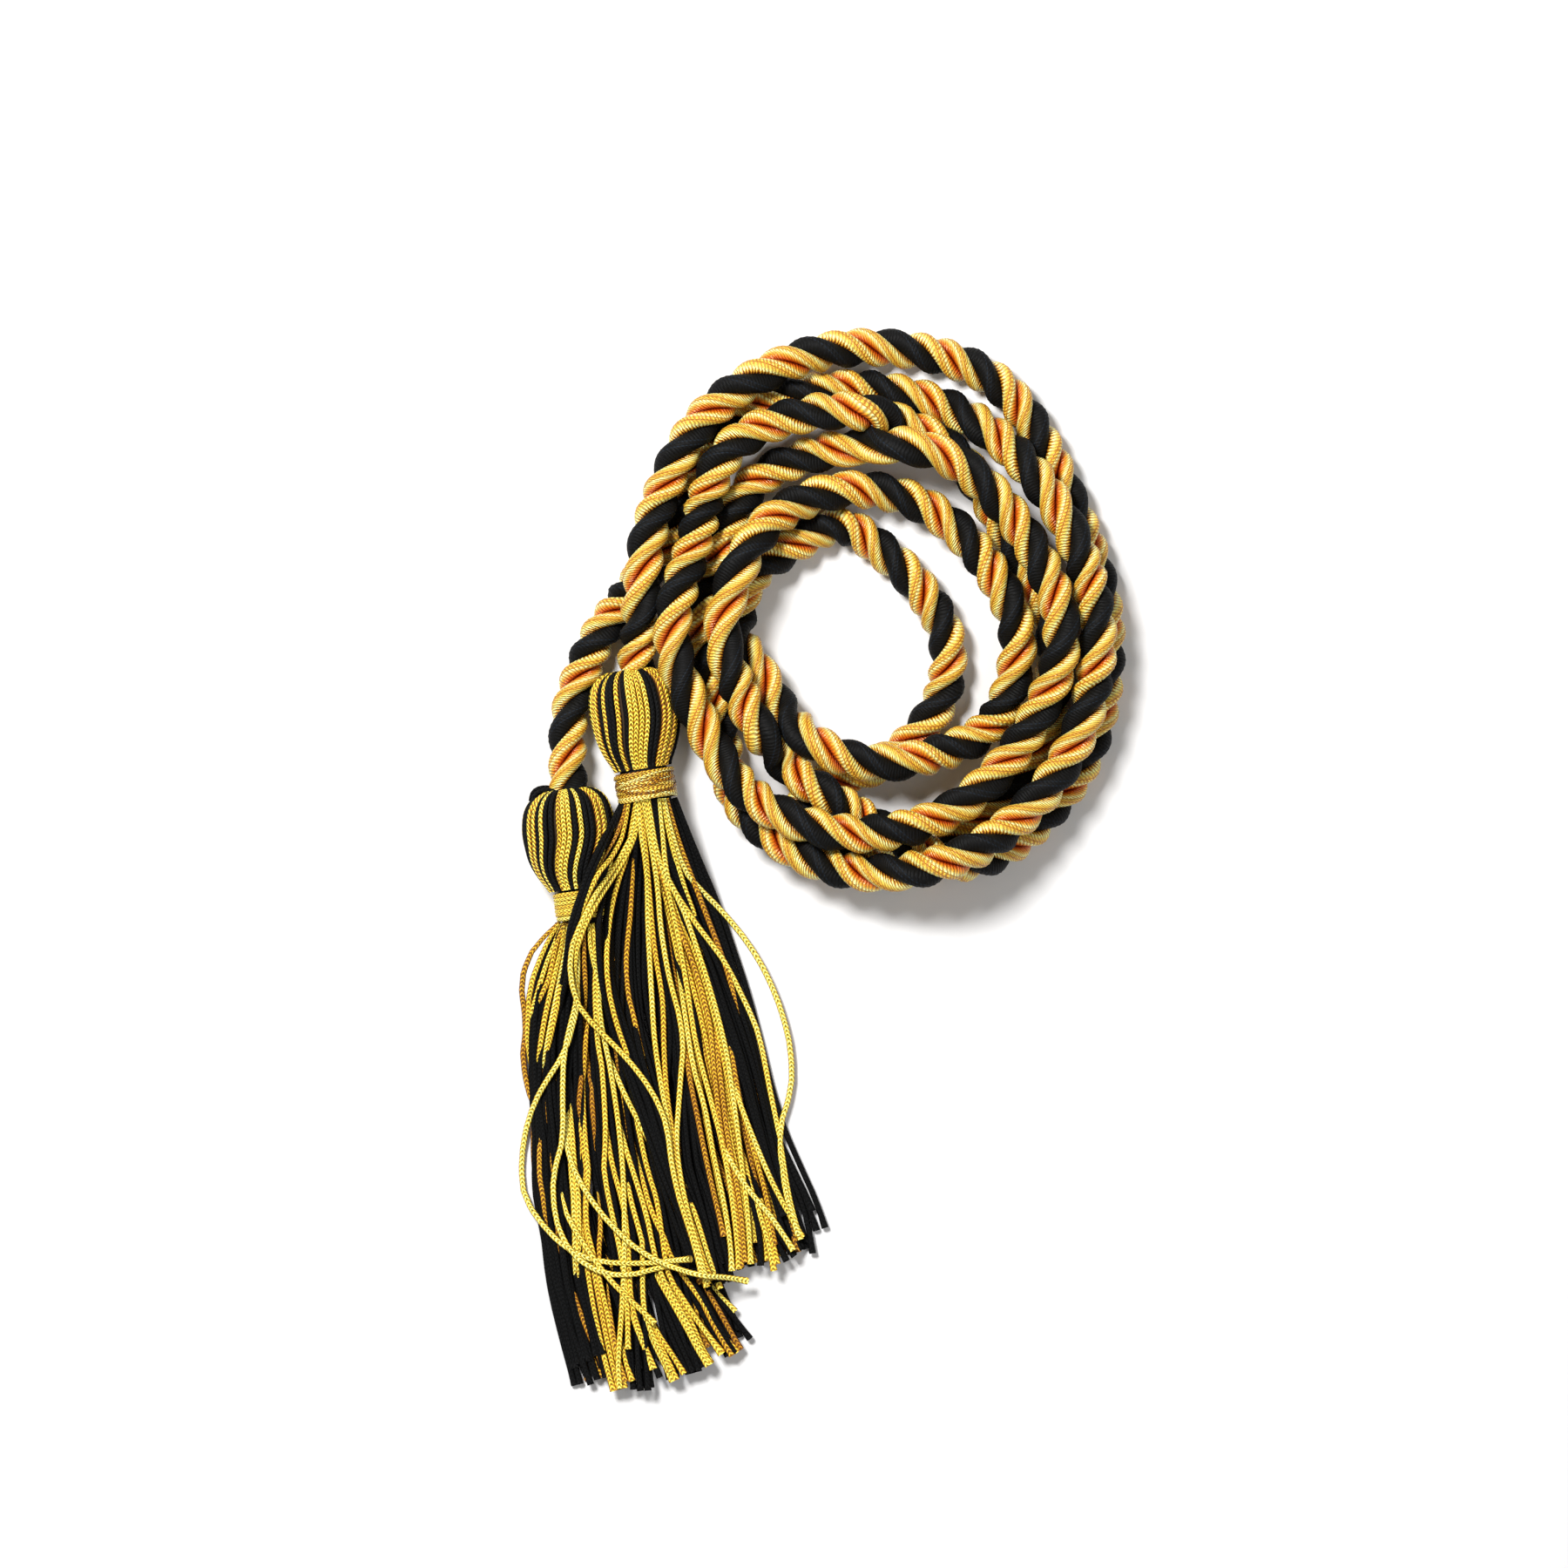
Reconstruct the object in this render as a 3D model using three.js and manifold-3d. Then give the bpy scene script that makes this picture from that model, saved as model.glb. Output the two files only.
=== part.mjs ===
// Honor cord: a thick three-strand twisted rope, folded in the middle and laid in a flat oval coil,
// with a full tassel on each end. It lies on a table. Millimetres, +Z up, +Y away from the viewer.
import * as THREE from "three";
import { mergeVertices } from "three/addons/utils/BufferGeometryUtils.js";
import Module from "manifold-3d";

const wasm = await Module();
wasm.setup();

// Driving dimensions
const ROPE_DIAMETER = 7.9;
const COIL_RADIUS = 56;
const HEAD_RADIUS = 9;
const HEAD_HALF_HEIGHT = 7.6;
const HEAD_LENGTH = 19.6;
const HEAD_LOBES = 12;
const LOBE_DEPTH = 0.4;
const NECK_RADIUS = 6.2;
const NECK_LENGTH = 6.2;
const WAIST_RADIUS = 3.9;
const WINDING_TURNS = 5;
const WINDING_DEPTH = 0.35;
const SKIRT_LENGTH = 97;
const SKIRT_HALF_WIDTH = 17.4;
const LOCK_HALF_WIDTH = 2.4;
const LOCK_HALF_HEIGHT = 2.1;
const BACKING_THICKNESS = 1.2;
const CLEARANCE = 0.3;

// Where the coil lies on the table, as shares of COIL_RADIUS
const COIL_CENTRE = { x: 0.0625, y: 0.7857 };

// The tassels: how far each is turned, how thick its neck is, and how far to the side of its middle the
// rope comes in, as a share of HEAD_RADIUS. The rope's end sits ROPE_DEPTH inside the head's top.
const TASSELS = {
  left: { turnDegrees: 8, neckScale: 0.88, ropeAside: 0.052 },
  right: { turnDegrees: 9, neckScale: 1, ropeAside: 0.148 },
};
const ROPE_DEPTH = 1;

// Colours and finish of the three materials
const GOLD = { color: 0xe8b63c, roughness: 0.5, metalness: 0 };
const YELLOW = { color: 0xe6d34a, roughness: 0.8, metalness: 0 };
const WINDING_GOLD = { color: 0xd9b74a, roughness: 0.6, metalness: 0 };

// Detail of the faceted solids
const ROPE_SIDES = 10;
const ROPE_STEP = 9;
const PIECES_IN_COIL = 12;
const HEAD_SIDES = 36;
const NECK_SIDES = 20;
const LOCK_SIDES = 8;
const LOCK_STEPS = 8;

// The coil, one row for each turn, with a column for each hour of the clock seen from above.
// reach is the distance from the coil's centre as a share of COIL_RADIUS.
// rank says which strand lies on which where two cross: the higher lies on the lower.
const HOURS = [9, 10, 11, 12, 1, 2, 3, 4, 5, 6, 7, 8];
const LEFT_TURNS = [
  {
    name: "first, from the left tail",
    reach: [0.865, 0.71, 0.855, 0.885, 0.905, 0.895, 0.915, 0.915, 0.895, 0.83, 0.7, 0.51],
    rank: [1, 1, 1, 1, 1, 2, 2, 2, 2, 2, 1, 1],
  },
  {
    name: "second, the one that shows all round",
    reach: [0.5, 0.51, 0.625, 0.668, 0.735, 0.745, 0.785, 0.745, 0.735, 0.7, 0.65, 0.585],
    rank: [1, 1, 2, 2, 3, 3, 3, 3, 3, 3, 3, 3],
  },
  {
    name: "third, ending at the fold",
    reach: [0.6, 0.61, 0.775, 0.8, 0.77, 0.7, 0.76, 0.81],
    rank: [3, 3, 3, 3, 1, 1, 1, 1],
  },
];
const RIGHT_TURNS = [
  {
    name: "first, from the right tail",
    reach: [0.72, 0.78, 0.925, 1.025, 1.068, 0.95, 0.95, 0.975, 0.93, 0.6, 0.475, 0.412],
    rank: [2, 2, 2, 2, 1, 1, 1, 1, 1, 1, 2, 3],
  },
  {
    name: "second",
    reach: [0.42, 0.43, 0.48, 0.52, 0.55, 0.575, 0.63, 0.625, 0.51, 0.43, 0.355, 0.315],
    rank: [3, 3, 3, 2, 2, 2, 2, 2, 3, 3, 2, 2],
  },
  {
    name: "third, ending at the fold",
    reach: [0.365, 0.385, 0.365, 0.395, 0.335, 0.332, 0.378, 0.42],
    rank: [1, 1, 1, 1, 1, 1, 1, 1],
  },
];

// The fold in the middle of the rope, hidden under the lower side of the coil: hour, reach, rank.
const FOLD = [
  { hour: 5.0, reach: 0.83, rank: 0 },
  { hour: 5.5, reach: 0.85, rank: 0 },
  { hour: 6.0, reach: 0.8, rank: 0 },
  { hour: 6.4, reach: 0.68, rank: 0 },
  { hour: 6.3, reach: 0.55, rank: 0 },
  { hour: 5.7, reach: 0.49, rank: 0 },
  { hour: 5.0, reach: 0.46, rank: 0 },
];

// The two tails, from the tassel's head to the coil: x and y on the table as shares of COIL_RADIUS.
const LEFT_TAIL = [
  [-0.9107, 0.2179],
  [-0.9107, 0.2929],
  [-0.9125, 0.3821],
  [-0.9071, 0.4964],
  [-0.8804, 0.6036],
  [-0.8429, 0.7036],
];
const RIGHT_TAIL = [
  [-0.6714, 0.6464],
  [-0.6643, 0.7179],
];

// How the rope is laid: the step between points, the number of passes, the drop in each pass, and the
// shares by which crossing strands are pushed apart and bends are evened out.
const ROUTE_STEP = 3;
const SETTLING_PASSES = 600;
const SINKING = 0.03;
const YIELD = 0.3;
const BENDING = 0.5;

// A tassel's head, from the rope's end to the neck: share of the length, share of the radius.
const HEAD_PROFILE = [
  { along: 0.0, radius: 0.6 },
  { along: 0.06, radius: 0.78 },
  { along: 0.16, radius: 0.92 },
  { along: 0.32, radius: 0.99 },
  { along: 0.5, radius: 1.0 },
  { along: 0.68, radius: 0.92 },
  { along: 0.85, radius: 0.79 },
  { along: 1.0, radius: 0.68 },
];

// The locks of each skirt. side is the place across at the neck, at each quarter and at the tip, as a
// share of SKIRT_HALF_WIDTH; reach is the lock's length as a share of SKIRT_LENGTH; rest is the height
// of the lock's underside at the same five places, as a share of the thickness of a lock.
const LEFT_LOCKS = [
  { side: [-0.24, -0.78, -0.84, -0.73, -0.64], reach: 0.955, rest: [0.6, 0, 0, 0, 0] },
  { side: [-0.17, -0.6, -0.63, -0.53, -0.42], reach: 0.965, rest: [0.6, 0, 0, 0, 0] },
  { side: [-0.1, -0.42, -0.42, -0.33, -0.2], reach: 0.955, rest: [0.6, 0, 0, 0, 0] },
  { side: [-0.03, -0.23, -0.21, -0.12, 0.03], reach: 0.975, rest: [0.6, 0, 0, 0, 0] },
  { side: [0.03, -0.05, 0.0, 0.1, 0.26], reach: 0.965, rest: [0.6, 0, 0, 0, 0] },
  { side: [0.1, 0.13, 0.21, 0.34, 0.49], reach: 0.945, rest: [0.6, 0, 0, 0, 0] },
  { side: [0.17, 0.3, 0.42, 0.59, 0.75], reach: 0.935, rest: [0.6, 0, 0, 0, 0] },
  { side: [0.24, 0.46, 0.64, 0.85, 1.0], reach: 0.905, rest: [0.6, 0, 0, 0, 0] },
];
const RIGHT_LOCKS = [
  { side: [-0.28, -0.74, -0.86, -0.64, -0.34], reach: 0.96, rest: [0.6, 1.2, 1.15, 1.1, 1.1] },
  { side: [-0.22, -0.53, -0.63, -0.45, -0.19], reach: 0.99, rest: [0.6, 1.1, 1.15, 1.1, 1.1] },
  { side: [-0.15, -0.33, -0.4, -0.26, -0.04], reach: 1.0, rest: [0.6, 0.9, 1.1, 1.1, 1.1] },
  { side: [-0.06, -0.13, -0.17, -0.06, 0.12], reach: 1.0, rest: [0.6, 0.6, 1.1, 1.1, 1.1] },
  { side: [0.03, 0.06, 0.07, 0.15, 0.3], reach: 1.0, rest: [0.6, 0.4, 0.8, 0.9, 0.9] },
  { side: [0.12, 0.2, 0.27, 0.36, 0.48], reach: 0.98, rest: [0.6, 0.2, 0.3, 0.4, 0.3] },
  { side: [0.2, 0.33, 0.46, 0.57, 0.72], reach: 0.975, rest: [0.6, 0, 0, 0, 0] },
  { side: [0.28, 0.46, 0.64, 0.78, 0.97], reach: 0.955, rest: [0.6, 0, 0, 0, 0] },
];

// Half width and half height of a lock at the same five places, as shares of the lock's own.
const LOCK_WIDTHS = [0.62, 0.86, 0.92, 1.0, 1.0];
const LOCK_HEIGHTS = [2.2, 1.5, 1.05, 1.0, 0.8];

// Makes a geometry of positions only, with its shared corners merged.
function plainGeometry(geometry) {
  const plain = geometry.clone();
  plain.deleteAttribute("normal");
  plain.deleteAttribute("uv");
  return mergeVertices(plain, 1e-4);
}

function toSolid(geometry) {
  const plain = plainGeometry(geometry);
  const mesh = new wasm.Mesh({
    numProp: 3,
    vertProperties: new Float32Array(plain.attributes.position.array),
    triVerts: new Uint32Array(plain.index.array),
  });
  return new wasm.Manifold(mesh);
}

function toGeometry(solid) {
  const mesh = solid.getMesh();
  const geometry = new THREE.BufferGeometry();
  geometry.setAttribute("position", new THREE.BufferAttribute(new Float32Array(mesh.vertProperties), 3));
  geometry.setIndex(new THREE.BufferAttribute(new Uint32Array(mesh.triVerts), 1));
  geometry.computeVertexNormals();
  return geometry;
}

// Joins solids into one and drops any small hollow that is closed in between them.
function join(solids) {
  const joined = wasm.Manifold.union(solids);
  const shells = joined.decompose().sort((a, b) => b.volume() - a.volume());
  return shells[0];
}

// A smooth value between the entries of a row, for a share from 0 to 1.
function along(row, share) {
  const curve = new THREE.SplineCurve(row.map((value, index) => new THREE.Vector2(index, value)));
  return curve.getPoint(share).y;
}

// A point of the table given as shares of COIL_RADIUS, with the rank as z.
function tablePoint(x, y, rank) {
  return new THREE.Vector3(x * COIL_RADIUS, y * COIL_RADIUS, rank);
}

// The point of the coil at an hour of the clock.
function clockPoint(hour, reach, rank) {
  const angle = (hour / 12) * 2 * Math.PI;
  return tablePoint(COIL_CENTRE.x + Math.sin(angle) * reach, COIL_CENTRE.y + Math.cos(angle) * reach, rank);
}

function turnPoints(turns) {
  const points = [];
  for (const turn of turns) {
    turn.reach.forEach((reach, index) => points.push(clockPoint(HOURS[index], reach, turn.rank[index])));
  }
  return points;
}

// The whole route seen from above, from the left tassel to the right one, with the rank as z.
function planRoute() {
  const leftTail = LEFT_TAIL.map(([x, y]) => tablePoint(x, y, 1));
  const rightTail = RIGHT_TAIL.map(([x, y]) => tablePoint(x, y, 2));
  const fold = FOLD.map(({ hour, reach, rank }) => clockPoint(hour, reach, rank));
  const outward = [...rightTail, ...turnPoints(RIGHT_TURNS)].reverse();
  return [...leftTail, ...turnPoints(LEFT_TURNS), ...fold, ...outward];
}

// Lays the route down on the table. Each pass lets every point sink a little, pushes crossing strands
// apart with the higher rank on top, and evens out the bends. Gives points with z at the rope's middle.
function layRoute() {
  const plan = new THREE.CatmullRomCurve3(planRoute(), false, "centripetal");
  const count = Math.round(plan.getLength() / ROUTE_STEP);
  const points = plan.getSpacedPoints(count);
  const radius = ROPE_DIAMETER / 2;
  const apart = ROPE_DIAMETER + CLEARANCE;
  const nearest = Math.ceil((1.6 * ROPE_DIAMETER) / ROUTE_STEP);
  const pairs = [];
  for (let i = 0; i <= count; i += 1) {
    for (let j = i + nearest; j <= count; j += 1) {
      const across = Math.hypot(points[i].x - points[j].x, points[i].y - points[j].y);
      if (across < apart) {
        const [low, high] = points[i].z <= points[j].z ? [i, j] : [j, i];
        pairs.push({ low, high, rise: Math.sqrt(apart * apart - across * across) });
      }
    }
  }
  const heights = points.map((point) => radius + Math.max(0, point.z) * ROPE_DIAMETER * 0.5);
  for (let pass = 0; pass < SETTLING_PASSES; pass += 1) {
    for (let i = 0; i <= count; i += 1) heights[i] -= SINKING;
    for (const { low, high, rise } of pairs) {
      const missing = rise - (heights[high] - heights[low]);
      if (missing > 0) {
        heights[high] += missing * YIELD;
        heights[low] -= missing * YIELD;
      }
    }
    const before = [...heights];
    for (let i = 1; i < count; i += 1) {
      heights[i] += BENDING * ((before[i - 1] + before[i + 1]) / 2 - before[i]);
    }
    for (let i = 0; i <= count; i += 1) heights[i] = Math.max(heights[i], radius + CLEARANCE / 2);
    heights[0] = HEAD_HALF_HEIGHT;
    heights[count] = HEAD_HALF_HEIGHT;
  }
  return points.map((point, index) => new THREE.Vector3(point.x, point.y, heights[index]));
}

// A round tube along some points, as an extrusion of a polygon.
function ropeTube(points, grow) {
  const corners = [];
  for (let side = 0; side < ROPE_SIDES; side += 1) {
    const angle = (side / ROPE_SIDES) * 2 * Math.PI;
    corners.push(new THREE.Vector2(Math.cos(angle), Math.sin(angle)).multiplyScalar(ROPE_DIAMETER / 2 + grow));
  }
  const path = new THREE.CatmullRomCurve3(points, false, "centripetal");
  const steps = Math.max(1, Math.round(path.getLength() / ROPE_STEP));
  return new THREE.ExtrudeGeometry(new THREE.Shape(corners), { steps, extrudePath: path, bevelEnabled: false });
}

// Splits the route into the two tails and the coil, with a clearance between their end faces.
function splitRoute(route) {
  const nearest = (x, y, from, to) => {
    let best = from;
    for (let i = from; i <= to; i += 1) {
      const nearer = Math.hypot(route[i].x - x, route[i].y - y) < Math.hypot(route[best].x - x, route[best].y - y);
      if (nearer) best = i;
    }
    return best;
  };
  const half = Math.floor(route.length / 2);
  const leftStart = clockPoint(HOURS[0], LEFT_TURNS[0].reach[0], 0);
  const rightStart = clockPoint(HOURS[0], RIGHT_TURNS[0].reach[0], 0);
  const leftEnd = nearest(leftStart.x, leftStart.y, 0, Math.floor(half / 3));
  const rightEnd = nearest(rightStart.x, rightStart.y, route.length - 1 - Math.floor(half / 3), route.length - 1);
  return {
    leftTail: route.slice(0, leftEnd + 1),
    coil: route.slice(leftEnd, rightEnd + 1),
    rightTail: route.slice(rightEnd),
  };
}

// The room that a tail takes up: a wider tube, carried on past both ends by the clearance.
function tailRoom(points) {
  const last = points.length - 1;
  const before = points[0].clone().sub(points[1]).setLength(CLEARANCE).add(points[0]);
  const after = points[last].clone().sub(points[last - 1]).setLength(CLEARANCE).add(points[last]);
  return toSolid(ropeTube([before, ...points, after], CLEARANCE));
}

// The coil's turns, made in stretches and joined.
function coilTubes(points, grow) {
  const stretches = [];
  const share = (points.length - 1) / PIECES_IN_COIL;
  for (let piece = 0; piece < PIECES_IN_COIL; piece += 1) {
    const from = Math.round(piece * share);
    const to = Math.round((piece + 1) * share);
    stretches.push(toSolid(ropeTube(points.slice(from, to + 1), grow)));
  }
  return join(stretches);
}

// Bends a cylinder of rows and sides into a body whose middle, half width and half height are given
// for each share of its length. place gives the point for a share, a part across and a part up.
function bentCylinder(sides, steps, place) {
  const geometry = new THREE.CylinderGeometry(1, 1, 1, sides, steps);
  const position = geometry.attributes.position;
  const corner = new THREE.Vector3();
  for (let i = 0; i < position.count; i += 1) {
    corner.fromBufferAttribute(position, i);
    const point = place(0.5 - corner.y, corner.x, corner.z);
    position.setXYZ(i, point.x, point.y, point.z);
  }
  return geometry;
}

// A head in its tassel's own frame: +Y towards the rope, origin in the middle of the neck.
function headSolid(tassel, grow) {
  const top = NECK_LENGTH / 2 + HEAD_LENGTH + CLEARANCE;
  const rows = HEAD_PROFILE.length - 1;
  const bulb = bentCylinder(HEAD_SIDES, rows, (share, across, up) => {
    const row = HEAD_PROFILE[Math.round(share * rows)];
    const angle = Math.atan2(up, across);
    const size = Math.hypot(across, up);
    const lobe = LOBE_DEPTH * Math.abs(Math.cos((angle * HEAD_LOBES) / 2)) - LOBE_DEPTH;
    const half = size * (row.radius * HEAD_RADIUS + lobe + grow);
    const flat = HEAD_HALF_HEIGHT / HEAD_RADIUS;
    const y = top - row.along * HEAD_LENGTH + (0.5 - row.along) * 2 * grow;
    return new THREE.Vector3(Math.cos(angle) * half, y, Math.sin(angle) * half * flat);
  });
  const stemLength = NECK_LENGTH / 2 + CLEARANCE / 2 + HEAD_LENGTH / 2;
  const stem = new THREE.CylinderGeometry(WAIST_RADIUS + grow, WAIST_RADIUS + grow, stemLength, NECK_SIDES);
  stem.scale(tassel.neckScale, 1, tassel.neckScale);
  stem.translate(0, CLEARANCE / 2 + stemLength / 2, 0);
  return join([toSolid(bulb), toSolid(stem)]);
}

// The wound yarn round the neck, a hollow ring with one low rib for each turn.
function neckGeometry(tassel, grow) {
  const outer = NECK_RADIUS * tassel.neckScale + grow;
  const inner = (WAIST_RADIUS + CLEARANCE) * tassel.neckScale;
  const half = NECK_LENGTH / 2 + grow;
  const profile = [new THREE.Vector2(inner, -half)];
  for (let turn = 0; turn < WINDING_TURNS; turn += 1) {
    const start = -half + (turn / WINDING_TURNS) * 2 * half;
    const middle = start + half / WINDING_TURNS;
    profile.push(new THREE.Vector2(outer - WINDING_DEPTH, start));
    profile.push(new THREE.Vector2(outer, middle));
  }
  profile.push(new THREE.Vector2(outer - WINDING_DEPTH, half));
  profile.push(new THREE.Vector2(inner, half));
  profile.push(profile[0].clone());
  return new THREE.LatheGeometry(profile, NECK_SIDES);
}

// A lock of the skirt in its tassel's own frame, on the table's height.
function lockGeometry(lock, tassel, grow) {
  const top = -NECK_LENGTH / 2 - CLEARANCE;
  const thickness = 2 * LOCK_HALF_HEIGHT;
  return bentCylinder(LOCK_SIDES, LOCK_STEPS, (share, across, up) => {
    const halfWidth = along(LOCK_WIDTHS, share) * LOCK_HALF_WIDTH + grow;
    const fromMiddle = along(lock.side, share);
    const round = Math.sqrt(Math.max(0.2, 1 - (fromMiddle / 0.34) ** 2));
    const blend = Math.min(1, share * 4);
    const tall = along(LOCK_HEIGHTS, share) * (round + (1 - round) * blend);
    const halfHeight = tall * LOCK_HALF_HEIGHT + grow;
    const rest = along(lock.rest, share) * thickness * blend;
    const onTable = rest + halfHeight - grow;
    const atNeck = HEAD_HALF_HEIGHT;
    const middle = atNeck * (1 - blend) + onTable * blend;
    const x = fromMiddle * SKIRT_HALF_WIDTH + across * halfWidth;
    const y = top - share * lock.reach * SKIRT_LENGTH + (0.5 - share) * 2 * grow;
    return new THREE.Vector3(x, y, middle + up * halfHeight - HEAD_HALF_HEIGHT);
  });
}

// The thin layer of strands under the left skirt's locks, flat where it lies on the table.
function backingGeometry(locks) {
  const first = locks[0];
  const last = locks[locks.length - 1];
  const outline = [];
  const rows = [0.12, 0.25, 0.5, 0.75, 0.92];
  const point = (lock, share) => {
    const y = -NECK_LENGTH / 2 - CLEARANCE - share * lock.reach * SKIRT_LENGTH;
    return new THREE.Vector2(along(lock.side, share) * SKIRT_HALF_WIDTH, y);
  };
  for (const share of rows) outline.push(point(first, share));
  for (const share of rows.reverse()) outline.push(point(last, share));
  const slab = new THREE.ExtrudeGeometry(new THREE.Shape(outline), {
    depth: BACKING_THICKNESS,
    bevelEnabled: false,
  });
  slab.translate(0, 0, -HEAD_HALF_HEIGHT);
  return slab;
}

// Everything above the table, to trim what rests on it.
function aboveTable() {
  const size = 6 * SKIRT_LENGTH;
  const box = new THREE.BoxGeometry(size, size, size);
  box.translate(0, 0, size / 2 - HEAD_HALF_HEIGHT);
  return toSolid(box);
}

// A skirt in its tassel's own frame: locks joined to the waist that the winding holds.
function skirtSolid(locks, tassel, grow, backed) {
  const pieces = locks.map((lock) => toSolid(lockGeometry(lock, tassel, grow)));
  const stemLength = NECK_LENGTH / 2 + CLEARANCE / 2 + LOCK_HALF_HEIGHT;
  const stem = new THREE.CylinderGeometry(WAIST_RADIUS + grow, WAIST_RADIUS + grow, stemLength, NECK_SIDES);
  stem.scale(tassel.neckScale, 1, tassel.neckScale);
  stem.translate(0, -CLEARANCE / 2 - stemLength / 2, 0);
  pieces.push(toSolid(stem));
  if (backed) pieces.push(toSolid(backingGeometry(locks)));
  return join([join(pieces).intersect(aboveTable())]);
}

// The frame of a tassel on the table.
function tasselMatrix(tassel, ropeEnd) {
  const turn = THREE.MathUtils.degToRad(tassel.turnDegrees);
  const matrix = new THREE.Matrix4().makeRotationZ(turn);
  const headTop = NECK_LENGTH / 2 + CLEARANCE + HEAD_LENGTH;
  const toRope = new THREE.Vector3(tassel.ropeAside * HEAD_RADIUS, headTop - ROPE_DEPTH, 0).applyMatrix4(matrix);
  const neck = tablePoint(ropeEnd[0], ropeEnd[1], 0).sub(toRope);
  matrix.setPosition(neck.x, neck.y, HEAD_HALF_HEIGHT);
  return matrix;
}

// Takes a solid that lies on the table into a tassel's own frame.
function intoFrame(solid, matrix) {
  return solid.transform(matrix.clone().invert().elements);
}

function namedMesh(name, geometry, finish) {
  const mesh = new THREE.Mesh(geometry, new THREE.MeshStandardMaterial(finish));
  mesh.name = name;
  return mesh;
}

const group = new THREE.Group();

// Rope
const route = layRoute();
const { leftTail, coil, rightTail } = splitRoute(route);
const tailRooms = tailRoom(leftTail).add(tailRoom(rightTail));
const ropeRoom = coilTubes(coil, CLEARANCE).add(tailRooms);
const coilSolid = join([coilTubes(coil, 0).subtract(tailRooms)]);
group.add(namedMesh("rope_coil", toGeometry(coilSolid), GOLD));
group.add(namedMesh("left_tail", ropeTube(leftTail, 0), GOLD));
group.add(namedMesh("right_tail", ropeTube(rightTail, 0), GOLD));

// Left tassel, which lies flat on the table
const leftMatrix = tasselMatrix(TASSELS.left, LEFT_TAIL[0]);
const leftHead = join([headSolid(TASSELS.left, 0).subtract(intoFrame(ropeRoom, leftMatrix))]);
const leftSkirt = skirtSolid(LEFT_LOCKS, TASSELS.left, 0, true);
const leftGroup = new THREE.Group();
leftGroup.applyMatrix4(leftMatrix);
leftGroup.add(namedMesh("left_head", toGeometry(leftHead), YELLOW));
leftGroup.add(namedMesh("left_neck_winding", neckGeometry(TASSELS.left, 0), WINDING_GOLD));
leftGroup.add(namedMesh("left_skirt", toGeometry(leftSkirt), YELLOW));
group.add(leftGroup);

// Right tassel, whose skirt lies partly on the left one and takes its form underneath
const rightMatrix = tasselMatrix(TASSELS.right, RIGHT_TAIL[0]);
const leftIntoRight = rightMatrix.clone().invert().multiply(leftMatrix);
const below = [
  skirtSolid(LEFT_LOCKS, TASSELS.left, CLEARANCE, true),
  headSolid(TASSELS.left, CLEARANCE),
  toSolid(neckGeometry(TASSELS.left, CLEARANCE)),
].map((solid) => solid.transform(leftIntoRight.elements));
const rightHead = join([headSolid(TASSELS.right, 0).subtract(intoFrame(ropeRoom, rightMatrix))]);
const rightSkirt = join([skirtSolid(RIGHT_LOCKS, TASSELS.right, 0, false).subtract(wasm.Manifold.union(below))]);
const rightGroup = new THREE.Group();
rightGroup.applyMatrix4(rightMatrix);
rightGroup.add(namedMesh("right_head", toGeometry(rightHead), YELLOW));
rightGroup.add(namedMesh("right_neck_winding", neckGeometry(TASSELS.right, 0), WINDING_GOLD));
rightGroup.add(namedMesh("right_skirt", toGeometry(rightSkirt), YELLOW));
group.add(rightGroup);

// The origin is in the middle of the underside.
group.updateMatrixWorld(true);
const extent = new THREE.Box3().setFromObject(group, true);
const middle = extent.getCenter(new THREE.Vector3());
group.position.set(-middle.x, -middle.y, -extent.min.z);

export default group;
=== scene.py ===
"""Honor cord: the visual model of a gold and black twisted rope in a flat coil, with two tassels."""
import math

import bpy
import numpy as np
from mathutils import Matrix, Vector


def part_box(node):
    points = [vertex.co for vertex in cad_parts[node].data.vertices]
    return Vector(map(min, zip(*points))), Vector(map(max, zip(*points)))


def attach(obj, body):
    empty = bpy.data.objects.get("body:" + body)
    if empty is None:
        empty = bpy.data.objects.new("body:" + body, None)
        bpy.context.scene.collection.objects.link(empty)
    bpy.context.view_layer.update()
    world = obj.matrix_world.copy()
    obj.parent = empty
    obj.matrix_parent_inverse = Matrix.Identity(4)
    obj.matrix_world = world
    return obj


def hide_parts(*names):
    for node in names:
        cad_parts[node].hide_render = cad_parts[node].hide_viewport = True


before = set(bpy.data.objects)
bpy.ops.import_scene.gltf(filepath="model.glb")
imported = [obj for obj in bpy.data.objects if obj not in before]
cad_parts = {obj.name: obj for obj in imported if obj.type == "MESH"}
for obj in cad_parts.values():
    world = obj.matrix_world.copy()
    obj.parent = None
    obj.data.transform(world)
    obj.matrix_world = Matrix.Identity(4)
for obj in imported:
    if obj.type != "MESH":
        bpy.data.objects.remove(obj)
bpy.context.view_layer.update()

# Sizes of the object, in metres
MM = 0.001
ROPE_DIAMETER = 7.9 * MM
COIL_RADIUS = 56 * MM
HEAD_RADIUS = 9 * MM
HEAD_HALF_HEIGHT = 7.6 * MM
HEAD_LENGTH = 19.6 * MM
NECK_RADIUS = 6.2 * MM
NECK_LENGTH = 6.2 * MM
CLEARANCE = 0.3 * MM
COIL_CENTRE = (0.0625, 0.7857)
ROPE_DEPTH = 1 * MM

# The photograph: its size, how long one of its pixels is on the table, and the pixel of the CAD's origin
PHOTO_PIXELS = 1800
PIXEL = 0.174 * MM
ORIGIN_PIXEL = (945, 983)
FOCUS_HEIGHT = 8 * MM

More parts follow.
